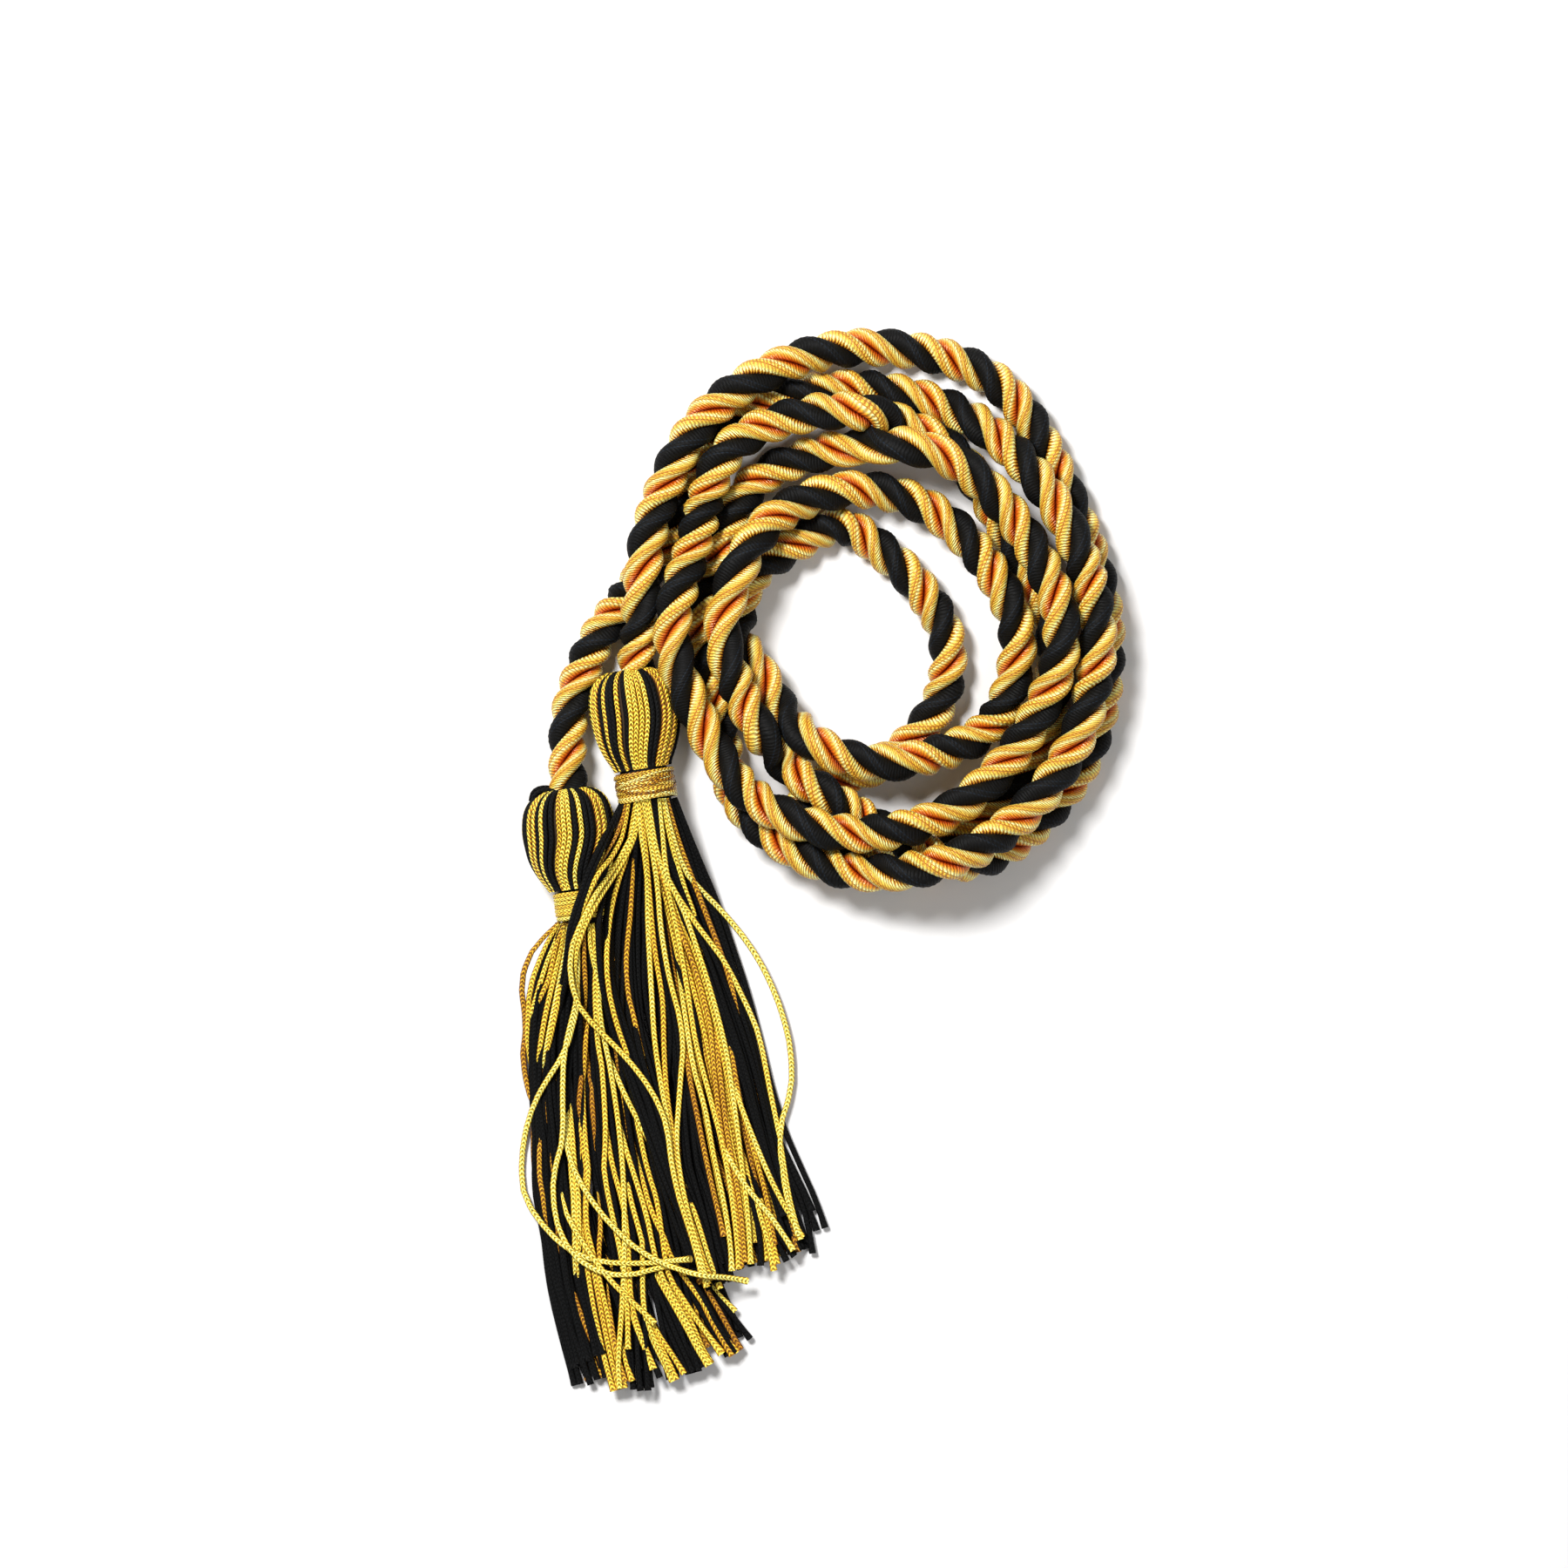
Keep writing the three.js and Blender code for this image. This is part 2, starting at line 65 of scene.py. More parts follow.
# The route of the rope, as in the CAD model: one row for each turn, one column for each clock hour.
HOURS = [9, 10, 11, 12, 1, 2, 3, 4, 5, 6, 7, 8]
LEFT_TURNS = [
    {
        "reach": [0.865, 0.71, 0.855, 0.885, 0.905, 0.895, 0.915, 0.915, 0.895, 0.83, 0.7, 0.51],
        "rank": [1, 1, 1, 1, 1, 2, 2, 2, 2, 2, 1, 1],
    },
    {
        "reach": [0.5, 0.51, 0.625, 0.668, 0.735, 0.745, 0.785, 0.745, 0.735, 0.7, 0.65, 0.585],
        "rank": [1, 1, 2, 2, 3, 3, 3, 3, 3, 3, 3, 3],
    },
    {
        "reach": [0.6, 0.61, 0.775, 0.8, 0.77, 0.7, 0.76, 0.81],
        "rank": [3, 3, 3, 3, 1, 1, 1, 1],
    },
]
RIGHT_TURNS = [
    {
        "reach": [0.72, 0.78, 0.925, 1.025, 1.068, 0.95, 0.95, 0.975, 0.93, 0.6, 0.475, 0.412],
        "rank": [2, 2, 2, 2, 1, 1, 1, 1, 1, 1, 2, 3],
    },
    {
        "reach": [0.42, 0.43, 0.48, 0.52, 0.55, 0.575, 0.63, 0.625, 0.51, 0.43, 0.355, 0.315],
        "rank": [3, 3, 3, 2, 2, 2, 2, 2, 3, 3, 2, 2],
    },
    {
        "reach": [0.365, 0.385, 0.365, 0.395, 0.335, 0.332, 0.378, 0.42],
        "rank": [1, 1, 1, 1, 1, 1, 1, 1],
    },
]
FOLD = [
    (5.0, 0.83),
    (5.5, 0.85),
    (6.0, 0.8),
    (6.4, 0.68),
    (6.3, 0.55),
    (5.7, 0.49),
    (5.0, 0.46),
]
LEFT_TAIL = [
    (-0.9107, 0.2179), (-0.9107, 0.2929), (-0.9125, 0.3821), (-0.9071, 0.4964), (-0.8804, 0.6036),
    (-0.8429, 0.7036),
]
RIGHT_TAIL = [(-0.6714, 0.6464), (-0.6643, 0.7179)]
# How far each tassel is turned, in degrees, and how far aside the rope comes in, as a share of HEAD_RADIUS
LEFT_TURN = 8
RIGHT_TURN = 9
LEFT_ASIDE = 0.052
RIGHT_ASIDE = 0.148

# How the rope is laid, as in the CAD model
ROUTE_STEP = 3 * MM
SETTLING_PASSES = 600
SINKING = 0.03 * MM
YIELD = 0.3
BENDING = 0.5
# How far each rank starts over the one below and how much rope lies at least between two places that
# touch, both in diameters of the rope
RANK_RISE = 0.5
NEAREST_TOUCH = 1.6
# Fine points of a smooth curve from one given point to the next, and the least gap between those
CURVE_SAMPLES = 30
SMALLEST_GAP = 1e-6

# The twist: the length of one turn of the plies, and where in the photograph the middle of the gold
# pair or the black ply faces up. Each list alternates between the two, and begins near the given
# hour of the given turn. Lists of the right strand run from its tail inwards, as those of the left do.
TWIST_PITCH = 17.4 * MM
FACING_UP = [
    {"strand": "left", "turn": None, "hour": None, "first": "gold", "pixels": [
        (668, 770), (680, 735), (700, 690), (708, 660),
    ]},
    {"strand": "left", "turn": 0, "hour": 12, "first": "gold", "pixels": [
        (977, 440), (1022, 450), (1067, 462), (1107, 485), (1147, 510), (1177, 545), (1212, 582),
        (1237, 637), (1262, 665), (1257, 712), (1265, 767), (1247, 805), (1232, 860), (1195, 900),
        (1160, 937), (1127, 965), (1080, 987), (1040, 997), (985, 1000), (940, 990), (890, 965),
    ]},
    {"strand": "left", "turn": 1, "hour": 11, "first": "gold", "pixels": [
        (875, 552), (917, 527), (960, 515), (1027, 510), (1080, 530), (1127, 560), (1170, 592),
        (1205, 635), (1224, 680), (1217, 737), (1205, 787), (1175, 832), (1152, 872), (1112, 907),
        (1070, 937), (1027, 952), (980, 957), (928, 942), (877, 915), (840, 890), (803, 838),
        (780, 782), (770, 720), (773, 668), (790, 630), (815, 597), (810, 562), (837, 520),
        (877, 485), (930, 470), (980, 470), (1022, 475),
    ]},
    {"strand": "right", "turn": None, "hour": None, "first": "gold", "pixels": [
        (735, 750), (730, 715), (738, 650), (748, 600), (765, 560), (785, 510), (820, 472),
        (855, 447), (905, 420), (945, 402), (997, 393), (1047, 395), (1095, 410), (1135, 432),
        (1166, 465), (1195, 500), (1217, 540), (1244, 590), (1262, 632), (1277, 687),
    ]},
    {"strand": "right", "turn": 0, "hour": 6, "first": "gold", "pixels": [
        (1000, 920), (968, 910), (926, 888), (888, 852), (857, 806), (828, 775), (832, 692),
        (850, 630), (890, 595), (927, 570), (985, 562), (1030, 567), (1080, 585), (1120, 617),
        (1147, 652), (1162, 705), (1170, 752), (1150, 805), (1132, 836), (1095, 857), (1057, 872),
        (1002, 870), (957, 857), (912, 828), (880, 785), (858, 728),
    ]},
    {"strand": "right", "turn": 2, "hour": 12, "first": "black", "pixels": [
        (950, 600), (988, 615), (1025, 645), (1060, 680), (1083, 715), (1090, 768), (1078, 808),
        (1045, 842),
    ]},
]

# Along the rope, where the places that face up are looked for, in turns of the twist from the one
# before, for the first of a list and for the others, and how far ahead a point of the route can lie
FIRST_SEARCH = (-1, 1.5)
NEXT_SEARCH = (0.25, 0.85)
SEARCH_LENGTH = 60 * MM

# Form of the rope's plies: colour, radius, distance from the rope's middle, angle round it in degrees,
# and which way round its colours run
PLIES = [
    ("black", 2.3 * MM, 1.7 * MM, 0, 1),
    ("gold", 1.87 * MM, 2.12 * MM, 124, 1),
    ("gold", 1.87 * MM, 2.12 * MM, -124, -1),
]
PLY_ANGLES = [-180, -150, -125, -102, -80, -60, -40, -20, 0, 20, 40, 60, 80, 102, 125, 150]
FINE_STEP = 1.0 * MM
TWIST_EVENING = 9 * MM

# The thread round a ply. Lengths are in millimetres along the ply, and widths are shares of the way
# round it. PLY_SHIFT keeps the plies' patterns apart, and a stretch sets how fine a noise is both ways.
PLY_STRETCH = 1.25
PLY_SHIFT = 3.1
RIB_PITCH = 0.62
RIB_SLANT = 3.0
RIB_STRETCH = (9, 0.9)
RIB_WANDER = 0.8
RIB_MIDDLE = 0.4
RIB_BALANCE = 0.55
RIB_RELIEF = 0.3 * MM
SPECKLE_STRETCH = (14, 7)
SPECKLE_RANGE = (0.9, 0.35)
EDGE_JAG = 0.055
PLY_DEPTH = 0.6
SEAM_PLACES = (0.47, 0.575)
SEAM_WIDTH = 0.02
SEAM_RIBS = 0.8
SEAM_DEPTH = 0.9

# A tassel's head, from the rope's end to the neck: share of the length, share of the radius
HEAD_PROFILE = [
    (0.0, 0.5), (0.03, 0.68), (0.08, 0.82), (0.16, 0.93), (0.32, 1.0), (0.5, 1.0), (0.68, 0.94),
    (0.84, 0.82), (0.94, 0.71), (1.0, 0.66),
]
HEAD_STRANDS = 46
PROFILE_STEP = 1.2 * MM
LOOP_STEP = 0.8 * MM
# How far a strand strays round the head, in radians, and how much further out or in it lies, as a share
ANGLE_WANDER = 0.018
GIRTH_WANDER = 0.016
# Where along the head the strands start to lean, and how thick they are: at the least, and how much more
# where the head is widest
LEAN_START = 0.4
THINNEST = 0.42
THICKENING = 0.5
HEAD_STRAND_HEIGHT = 0.9
# The dark core under the strands, dark as painted shade between them: how deep it lies and its number of
# sides
CORE_DEPTH = 0.9 * MM
CORE_SIDES = 24
# Where the colour of a head's strands changes, by the angle from straight up in degrees. It is yellow
# from -180 to the first of them, black to the second, and so on.
LEFT_HEAD_CHANGES = [-140, -125, -90, -65, -50, -43, -29, -14, 7, 14, 22, 43, 65, 90, 120, 135]
RIGHT_HEAD_CHANGES = [-150, -130, -95, -80, -58, -50, -36, -22, -14, -7, 22, 37, 82, 104, 130, 150]

# The heads: their changes of colour, their tones at the crown and at the sides, which paint light and
# shade by the angle round the head, how far the strands lean round by the neck in degrees, how much
# thicker the bulb is than the profile and how far it stands to one side, and loops of black yarn on top,
# each with its height over the middle and its pixels
LEFT_HEAD = {
    "changes": LEFT_HEAD_CHANGES, "tones": (6, 6), "lean": -22, "girth": 1.04, "bulge": -0.5 * MM, "loops": [
        (0.4 * MM, [(609, 920), (611, 911), (616, 906), (624, 904), (633, 905), (640, 909)]),
        (1.5 * MM, [(612, 923), (614, 913), (619, 909), (626, 907), (634, 908), (641, 912)]),
    ],
}
RIGHT_HEAD = {
    "changes": RIGHT_HEAD_CHANGES, "tones": (5.7, 5.9), "lean": -12, "girth": 1.0, "bulge": 0, "loops": [],
}

# Yarn of the tassels: a strand's radius and sides, how thin it is squeezed at the neck and over what
# length, the distance of its rings, and its height as a share of its width
STRAND_RADIUS = 0.58 * MM
STRAND_SIDES = 8
NECK_SQUEEZE = 0.72
SQUEEZE_LENGTH = 14 * MM
STRAND_STEP = 1.6 * MM
STRAND_HEIGHT = 0.88
# The ends of a strand: its size where it starts or ends in the pile, and its last two rings elsewhere
THIN_START = 0.3
THIN_END = 0.25
FRAYING = (1.1, 1.25)

# The stitches of the yarn, as the thread round a ply. Aside is the share of the way round from the
# crown, low is the strand's lower side, and holes are the dark dots between the stitches. The dots are
# painted shade in the holes, the stitches' relief is painted lighter and darker, and the lower side gets
# painted shade.
STITCH_PITCH = 0.9
STITCH_SLANT = 3.4
STITCH_STRETCH = (3, 0.35)
STITCH_WANDER = 1.2
STITCH_RELIEF = 0.2 * MM
HOLE_EDGES = (0.02, 0.1)
HOLE_SHARPNESS = 1.6
HOLE_RANGE = (1.7, -0.1)
HOLE_DEPTH = 1.2
LOW_EDGES = (0.1, 0.27)
LOW_SHADE = (-0.4, 1.04)
NOTCH_SHADE = -0.6
BRIGHTNESS = 0.97
PLAIN_CONTRAST = 0.46
YARN_DEPTH = 0.3
# Tones: the step of the uv from one to the next, the last one, how much a strand's strays and where its
# pattern starts; how they drift along a strand, and change on its lower side, painted shade, and over a
# stitch, painted light and shade; and the tone at the end of a material's colours
TONE_STEP = 1000
LAST_TONE = 9
TONE_JITTER = (-2, 2)
PATTERN_START = (1, 50)
DRIFT_STRETCH = (0, 0.05)
TONE_DRIFT = 5.0
LOW_SHADE_TONE = -4.5
STITCH_TONE = 4.0
STITCH_MIDDLE = 0.6
TONE_RANGE = 10.5

# The thread of the windings: points and sides of a turn, its section's height and width, how far it
# keeps off the neck's ends, how much its reach strays, and where round the neck it can lean
WINDING_STEPS = 49
THREAD_SIDES = 6
THREAD_SHAPE = (0.8, 1.15)
WINDING_MARGIN = 0.8 * MM
REACH_WANDER = 0.01
LEAN_PHASES = (0, 6)
# The waist under a winding is black yarn that shows only in the slits above and below it, as painted
# shade there: how far it reaches past the neck, and how much narrower it is there.
SHADE_WAIST_REACH = 1.5 * MM
SHADE_WAIST_ENDS = 0.8
# The windings: how far aside they sit, how wide they are, the tones of their thread, and its layers, each
# with how far it leans, how far below the neck's radius it lies, its number of turns and its thickness
LEFT_WINDING = {
    "aside": -0.45 * MM, "scale": 0.8, "tones": (5, 9), "layers": [
        (0, 0.85 * MM, 10, 0.4 * MM),
        (0.15 * MM, 0.42 * MM, 7, 0.35 * MM),
    ],
}
RIGHT_WINDING = {
    "aside": 0, "scale": 1.0, "tones": (1, 11), "layers": [
        (0, 0.75 * MM, 12, 0.38 * MM),
        (0.5 * MM, 0.52 * MM, 8, 0.34 * MM),
        (1.6 * MM, 0.36 * MM, 7, 0.3 * MM),
        (2.4 * MM, 0.24 * MM, 5, 0.26 * MM),
    ],
}
# How thick the left tassel's bundle is at its neck, as a share of the right one's
LEFT_SCALE = 0.88

# How the skirts lie: the depth of a pile of strands on the table, and how far past the neck the strands
# take to fall from the height of a tassel's axis to it
PILE_DEPTH = 3.3 * MM
FALL_LENGTH = 34 * MM
BUNDLE_RADIUS = 5.2 * MM
SMOOTHING_PASSES = 14
PLAN_STEP = 4 * MM
# How far from a skirt's edges the pile gets its full depth and how deep it is there, as shares
PILE_EDGE_WIDTH = 0.3
PILE_EDGE_START = 0.35
# At the neck, the flattest the bundle gets at its sides, and how much the upper strands stand up
FLATTEST = 0.25
NECK_LIFT = 0.3
# The right tassel's strands lie on the left tassel, and loose ones of the left tassel lie on the right
# skirt: the level that lies on it, and the height of one level more
COVER_LEVEL = 0.6
COVER_LIFT = 1.5 * MM
LOOSE_LEVEL = 1.32
LOOSE_LIFT = 4 * MM
# A bundle's strands: how far they stray from their places, in places, and from their lines by their
# number, how short they are cut, how high they lie, and the heights of one that comes out of the pile
BUNDLE_JITTER = (-0.4, 0.4)
BUNDLE_WANDER = [0.12 * MM, 0.2 * MM, 0.3 * MM, 0.55 * MM]
WANDER_PLACES = [0, 0.25, 0.5, 0.75, 1]
SHORTEST = 0.965
BUNDLE_HEIGHTS = (-0.3, 0.06)
LEVEL_COUNT = 9
LEVEL_WANDER = 0.03
EMERGING = [0.4, 0.75, 0.95]
# A strand that starts further from the neck than this comes out of the pile, and one that ends nearer
# to it than this goes back in.
HIDDEN_BEFORE = 15 * MM
HIDDEN_PAST = 82 * MM
# The strands below: rows of height and number, the share that is yellow, how far they stray from their
# places, along their way and in height, how far across they keep, how short they end, and their tones,
# kept low and brown as painted shade deep in the pile
FILLING_ROWS = [(0.0, 18), (0.3, 20), (0.55, 20)]
FILLING_YELLOW = 0.2
FILLING_JITTER = (-0.3, 0.3)
FILLING_WANDER = 0.03
FILLING_LEVELS = (-0.05, 0.05, 5)
FILLING_EDGES = (0.03, 0.97)
FILLING_ENDS = (0.8, 1.0)
FILLING_TONES = (0, 4)
# The top of the left tassel's pile, how far the lowest yarn keeps off the table, and the length over
# which a strand thins out where it starts or ends in the pile
LEFT_PILE_TOP = 4.3 * MM
TABLE_GAP = 0.02 * MM
TAPER_LENGTH = 11 * MM

# The skirts' strands as the photograph shows them. Each row is a strand or a bundle of them: black, or
# the tone of its yellow from 0, brown, to 9, lemon, which is partly the yarn's own colour and partly painted
# shade on strands that lie in shade; how high it lies in the pile (1 is on top); and the pixels that its
# middle passes through. A bundle's row also has how many strands lie side by side in it, and how wide it is
# at its start, in its middle and at its end, in pixels.
RIGHT_BUNDLES = [
    ("black", 0.75, [(722, 917), (718, 960), (710, 1010), (706, 1070), (710, 1130), (724, 1190), (744, 1250),
        (764, 1310), (784, 1380), (806, 1440), (822, 1478)], 6, (5, 34, 24)),
    ("black", 0.95, [(727, 917), (730, 960), (727, 1000), (722, 1050), (720, 1100), (721, 1150), (727, 1200),
        (742, 1250), (762, 1310), (784, 1370), (808, 1430), (824, 1474)], 8, (5, 34, 30)),
    ("black", 0.85, [(742, 917), (748, 1000), (757, 1080), (768, 1150), (775, 1210), (782, 1260),
        (792, 1320), (804, 1380), (818, 1440), (828, 1476)], 6, (6, 16, 26)),
    ("black", 1.05, [(783, 1200), (787, 1240), (792, 1290), (799, 1335), (808, 1375), (816, 1410),
        (824, 1440), (830, 1472)], 5, (3, 14, 26)),
    ("black", 1.1, [(757, 1060), (762, 1100), (767, 1138), (771, 1168), (775, 1198), (776, 1240),
        (775, 1290)], 2, (2, 5, 14)),
    ("black", 1.25, [(717, 917), (709, 934), (694, 964), (678, 999), (668, 1031), (656, 1069), (650, 1109),
        (640, 1155), (636, 1190)], 2, (4, 5, 3)),
    (2, 1.15, [(720, 917), (713, 948), (706, 962), (698, 978), (688, 996)]),
    (6, 1.3, [(723, 917), (720, 934), (717, 952), (710, 970), (700, 987), (688, 1001), (680, 1017),
        (674, 1033), (669, 1047), (664, 1068)]),
    (8, 1.4, [(732, 917), (730, 940), (726, 958), (710, 989), (687, 1023), (670, 1057), (657, 1089),
        (656, 1125), (666, 1158), (690, 1186), (719, 1216), (745, 1250), (763, 1289), (769, 1330),
        (778, 1372), (794, 1420), (806, 1464)]),
    (7, 1.3, [(735, 917), (733, 945), (724, 972), (703, 1008), (679, 1048), (664, 1085), (661, 1112),
        (664, 1135)]),
    (6, 1.3, [(731, 917), (726, 950), (722, 981), (712, 1011), (704, 1039), (698, 1079), (697, 1109),
        (699, 1138), (708, 1178), (722, 1215), (738, 1250)]),
    (3, 1.17, [(728, 985), (725, 1020), (722, 1055), (717, 1099), (719, 1138), (725, 1158), (735, 1198),
        (748, 1235)]),
    (8, 1.2, [(734, 917), (735, 950), (742, 999), (743, 1060), (747, 1138), (751, 1198), (758, 1245),
        (767, 1295), (772, 1345), (786, 1398), (800, 1440), (811, 1478)]),
    (5, 1.15, [(736, 917), (742, 979), (747, 1039), (752, 1095), (760, 1148), (761, 1198), (764, 1250),
        (771, 1300), (779, 1360), (796, 1410), (809, 1450), (817, 1470)]),
    (7, 1.1, [(778, 1330), (788, 1368), (800, 1400), (806, 1420), (813, 1443), (820, 1463), (827, 1480)]),
    (8, 1.3, [(738, 917), (744, 950), (754, 1009), (759, 1069), (769, 1129), (777, 1158), (783, 1198),
        (781, 1230), (777, 1290), (776, 1315), (784, 1368), (792, 1400), (803, 1440), (813, 1474)]),
    (5, 0.95, [(741, 917), (756, 990), (775, 1050), (793, 1110), (808, 1170), (820, 1230), (832, 1300),
        (844, 1370), (852, 1452)], 6, (5, 26, 28)),
    (7, 1.2, [(741, 917), (750, 960), (767, 1023), (781, 1089), (791, 1148), (799, 1198), (815, 1260),
        (829, 1315), (838, 1365), (845, 1425), (847, 1458)]),
    (8, 1.25, [(775, 1100), (783, 1150), (791, 1205), (799, 1240), (808, 1268), (820, 1330), (831, 1380),
        (839, 1430), (841, 1460)]),
    (2, 1.15, [(778, 1150), (787, 1210), (793, 1248), (807, 1315), (820, 1370), (832, 1420)]),
    ("black", 1.15, [(768, 1080), (777, 1109), (789, 1138), (799, 1168), (805, 1198), (812, 1230)]),
    (3, 1.15, [(743, 917), (751, 979), (761, 1009), (779, 1065), (799, 1119), (813, 1174), (819, 1230),
        (828, 1300), (841, 1370), (848, 1420), (850, 1456)]),
    (8, 1.25, [(745, 917), (758, 995), (779, 1035), (799, 1089), (815, 1138), (831, 1198), (841, 1265),
        (849, 1330), (857, 1390), (862, 1452)]),
    (3, 1.1, [(806, 1140), (821, 1190), (827, 1230), (836, 1305), (846, 1360), (853, 1410), (856, 1450)]),
    (3, 1.1, [(822, 1150), (836, 1195), (849, 1262), (866, 1325), (880, 1378), (890, 1430)]),
    (8, 1.25, [(830, 1200), (846, 1260), (864, 1307), (887, 1358), (911, 1402), (922, 1421)]),
    (9, 1.35, [(818, 1280), (831, 1319), (857, 1363), (887, 1401), (911, 1436)]),
    (7, 1.2, [(852, 1330), (868, 1385), (881, 1425), (888, 1460)]),
    (5, 1.1, [(866, 1350), (880, 1400), (893, 1452)]),
    (5, 1.0, [(838, 1290), (852, 1350), (864, 1400), (874, 1450)], 2, (3, 8, 8)),
    ("black", 1.2, [(850, 1320), (861, 1369), (869, 1399), (873, 1429), (872, 1454)]),
    ("black", 1.05, [(751, 917), (761, 970), (778, 1015), (797, 1065), (815, 1105), (835, 1160), (850, 1200),
        (863, 1240), (875, 1285), (887, 1335), (899, 1375), (906, 1395)], 6, (5, 24, 16)),
    ("black", 1.0, [(862, 1340), (872, 1380), (884, 1410), (897, 1429), (908, 1446)], 2, (3, 5, 8)),
    (8, 1.3, [(757, 917), (761, 960), (767, 1011), (779, 1031), (803, 1067), (829, 1101), (851, 1143),
        (869, 1184), (883, 1250), (895, 1310), (905, 1370), (913, 1402), (920, 1424)]),
    (7, 1.15, [(760, 917), (765, 945), (776, 990), (790, 1035), (797, 1052), (806, 1080), (816, 1106)]),
    (9, 1.35, [(763, 917), (769, 945), (785, 997), (800, 1017), (830, 1048), (863, 1090), (888, 1138),
        (906, 1198), (908, 1250), (897, 1290), (895, 1315), (898, 1350), (906, 1390), (916, 1420)]),
    (2, 1.28, [(766, 917), (782, 975), (803, 1030), (820, 1075), (835, 1120), (848, 1170), (856, 1200)]),
    ("black", 1.0, [(772, 917), (792, 975), (815, 1035), (837, 1097), (853, 1145), (866, 1195), (878, 1250),
        (892, 1300), (909, 1339), (930, 1385), (940, 1414)], 3, (5, 9, 8)),
    ("black", 1.1, [(768, 917), (784, 960), (802, 1020), (822, 1080), (842, 1140), (862, 1200), (876, 1260),
        (891, 1312), (905, 1349), (919, 1379), (931, 1425), (933, 1441)]),
]
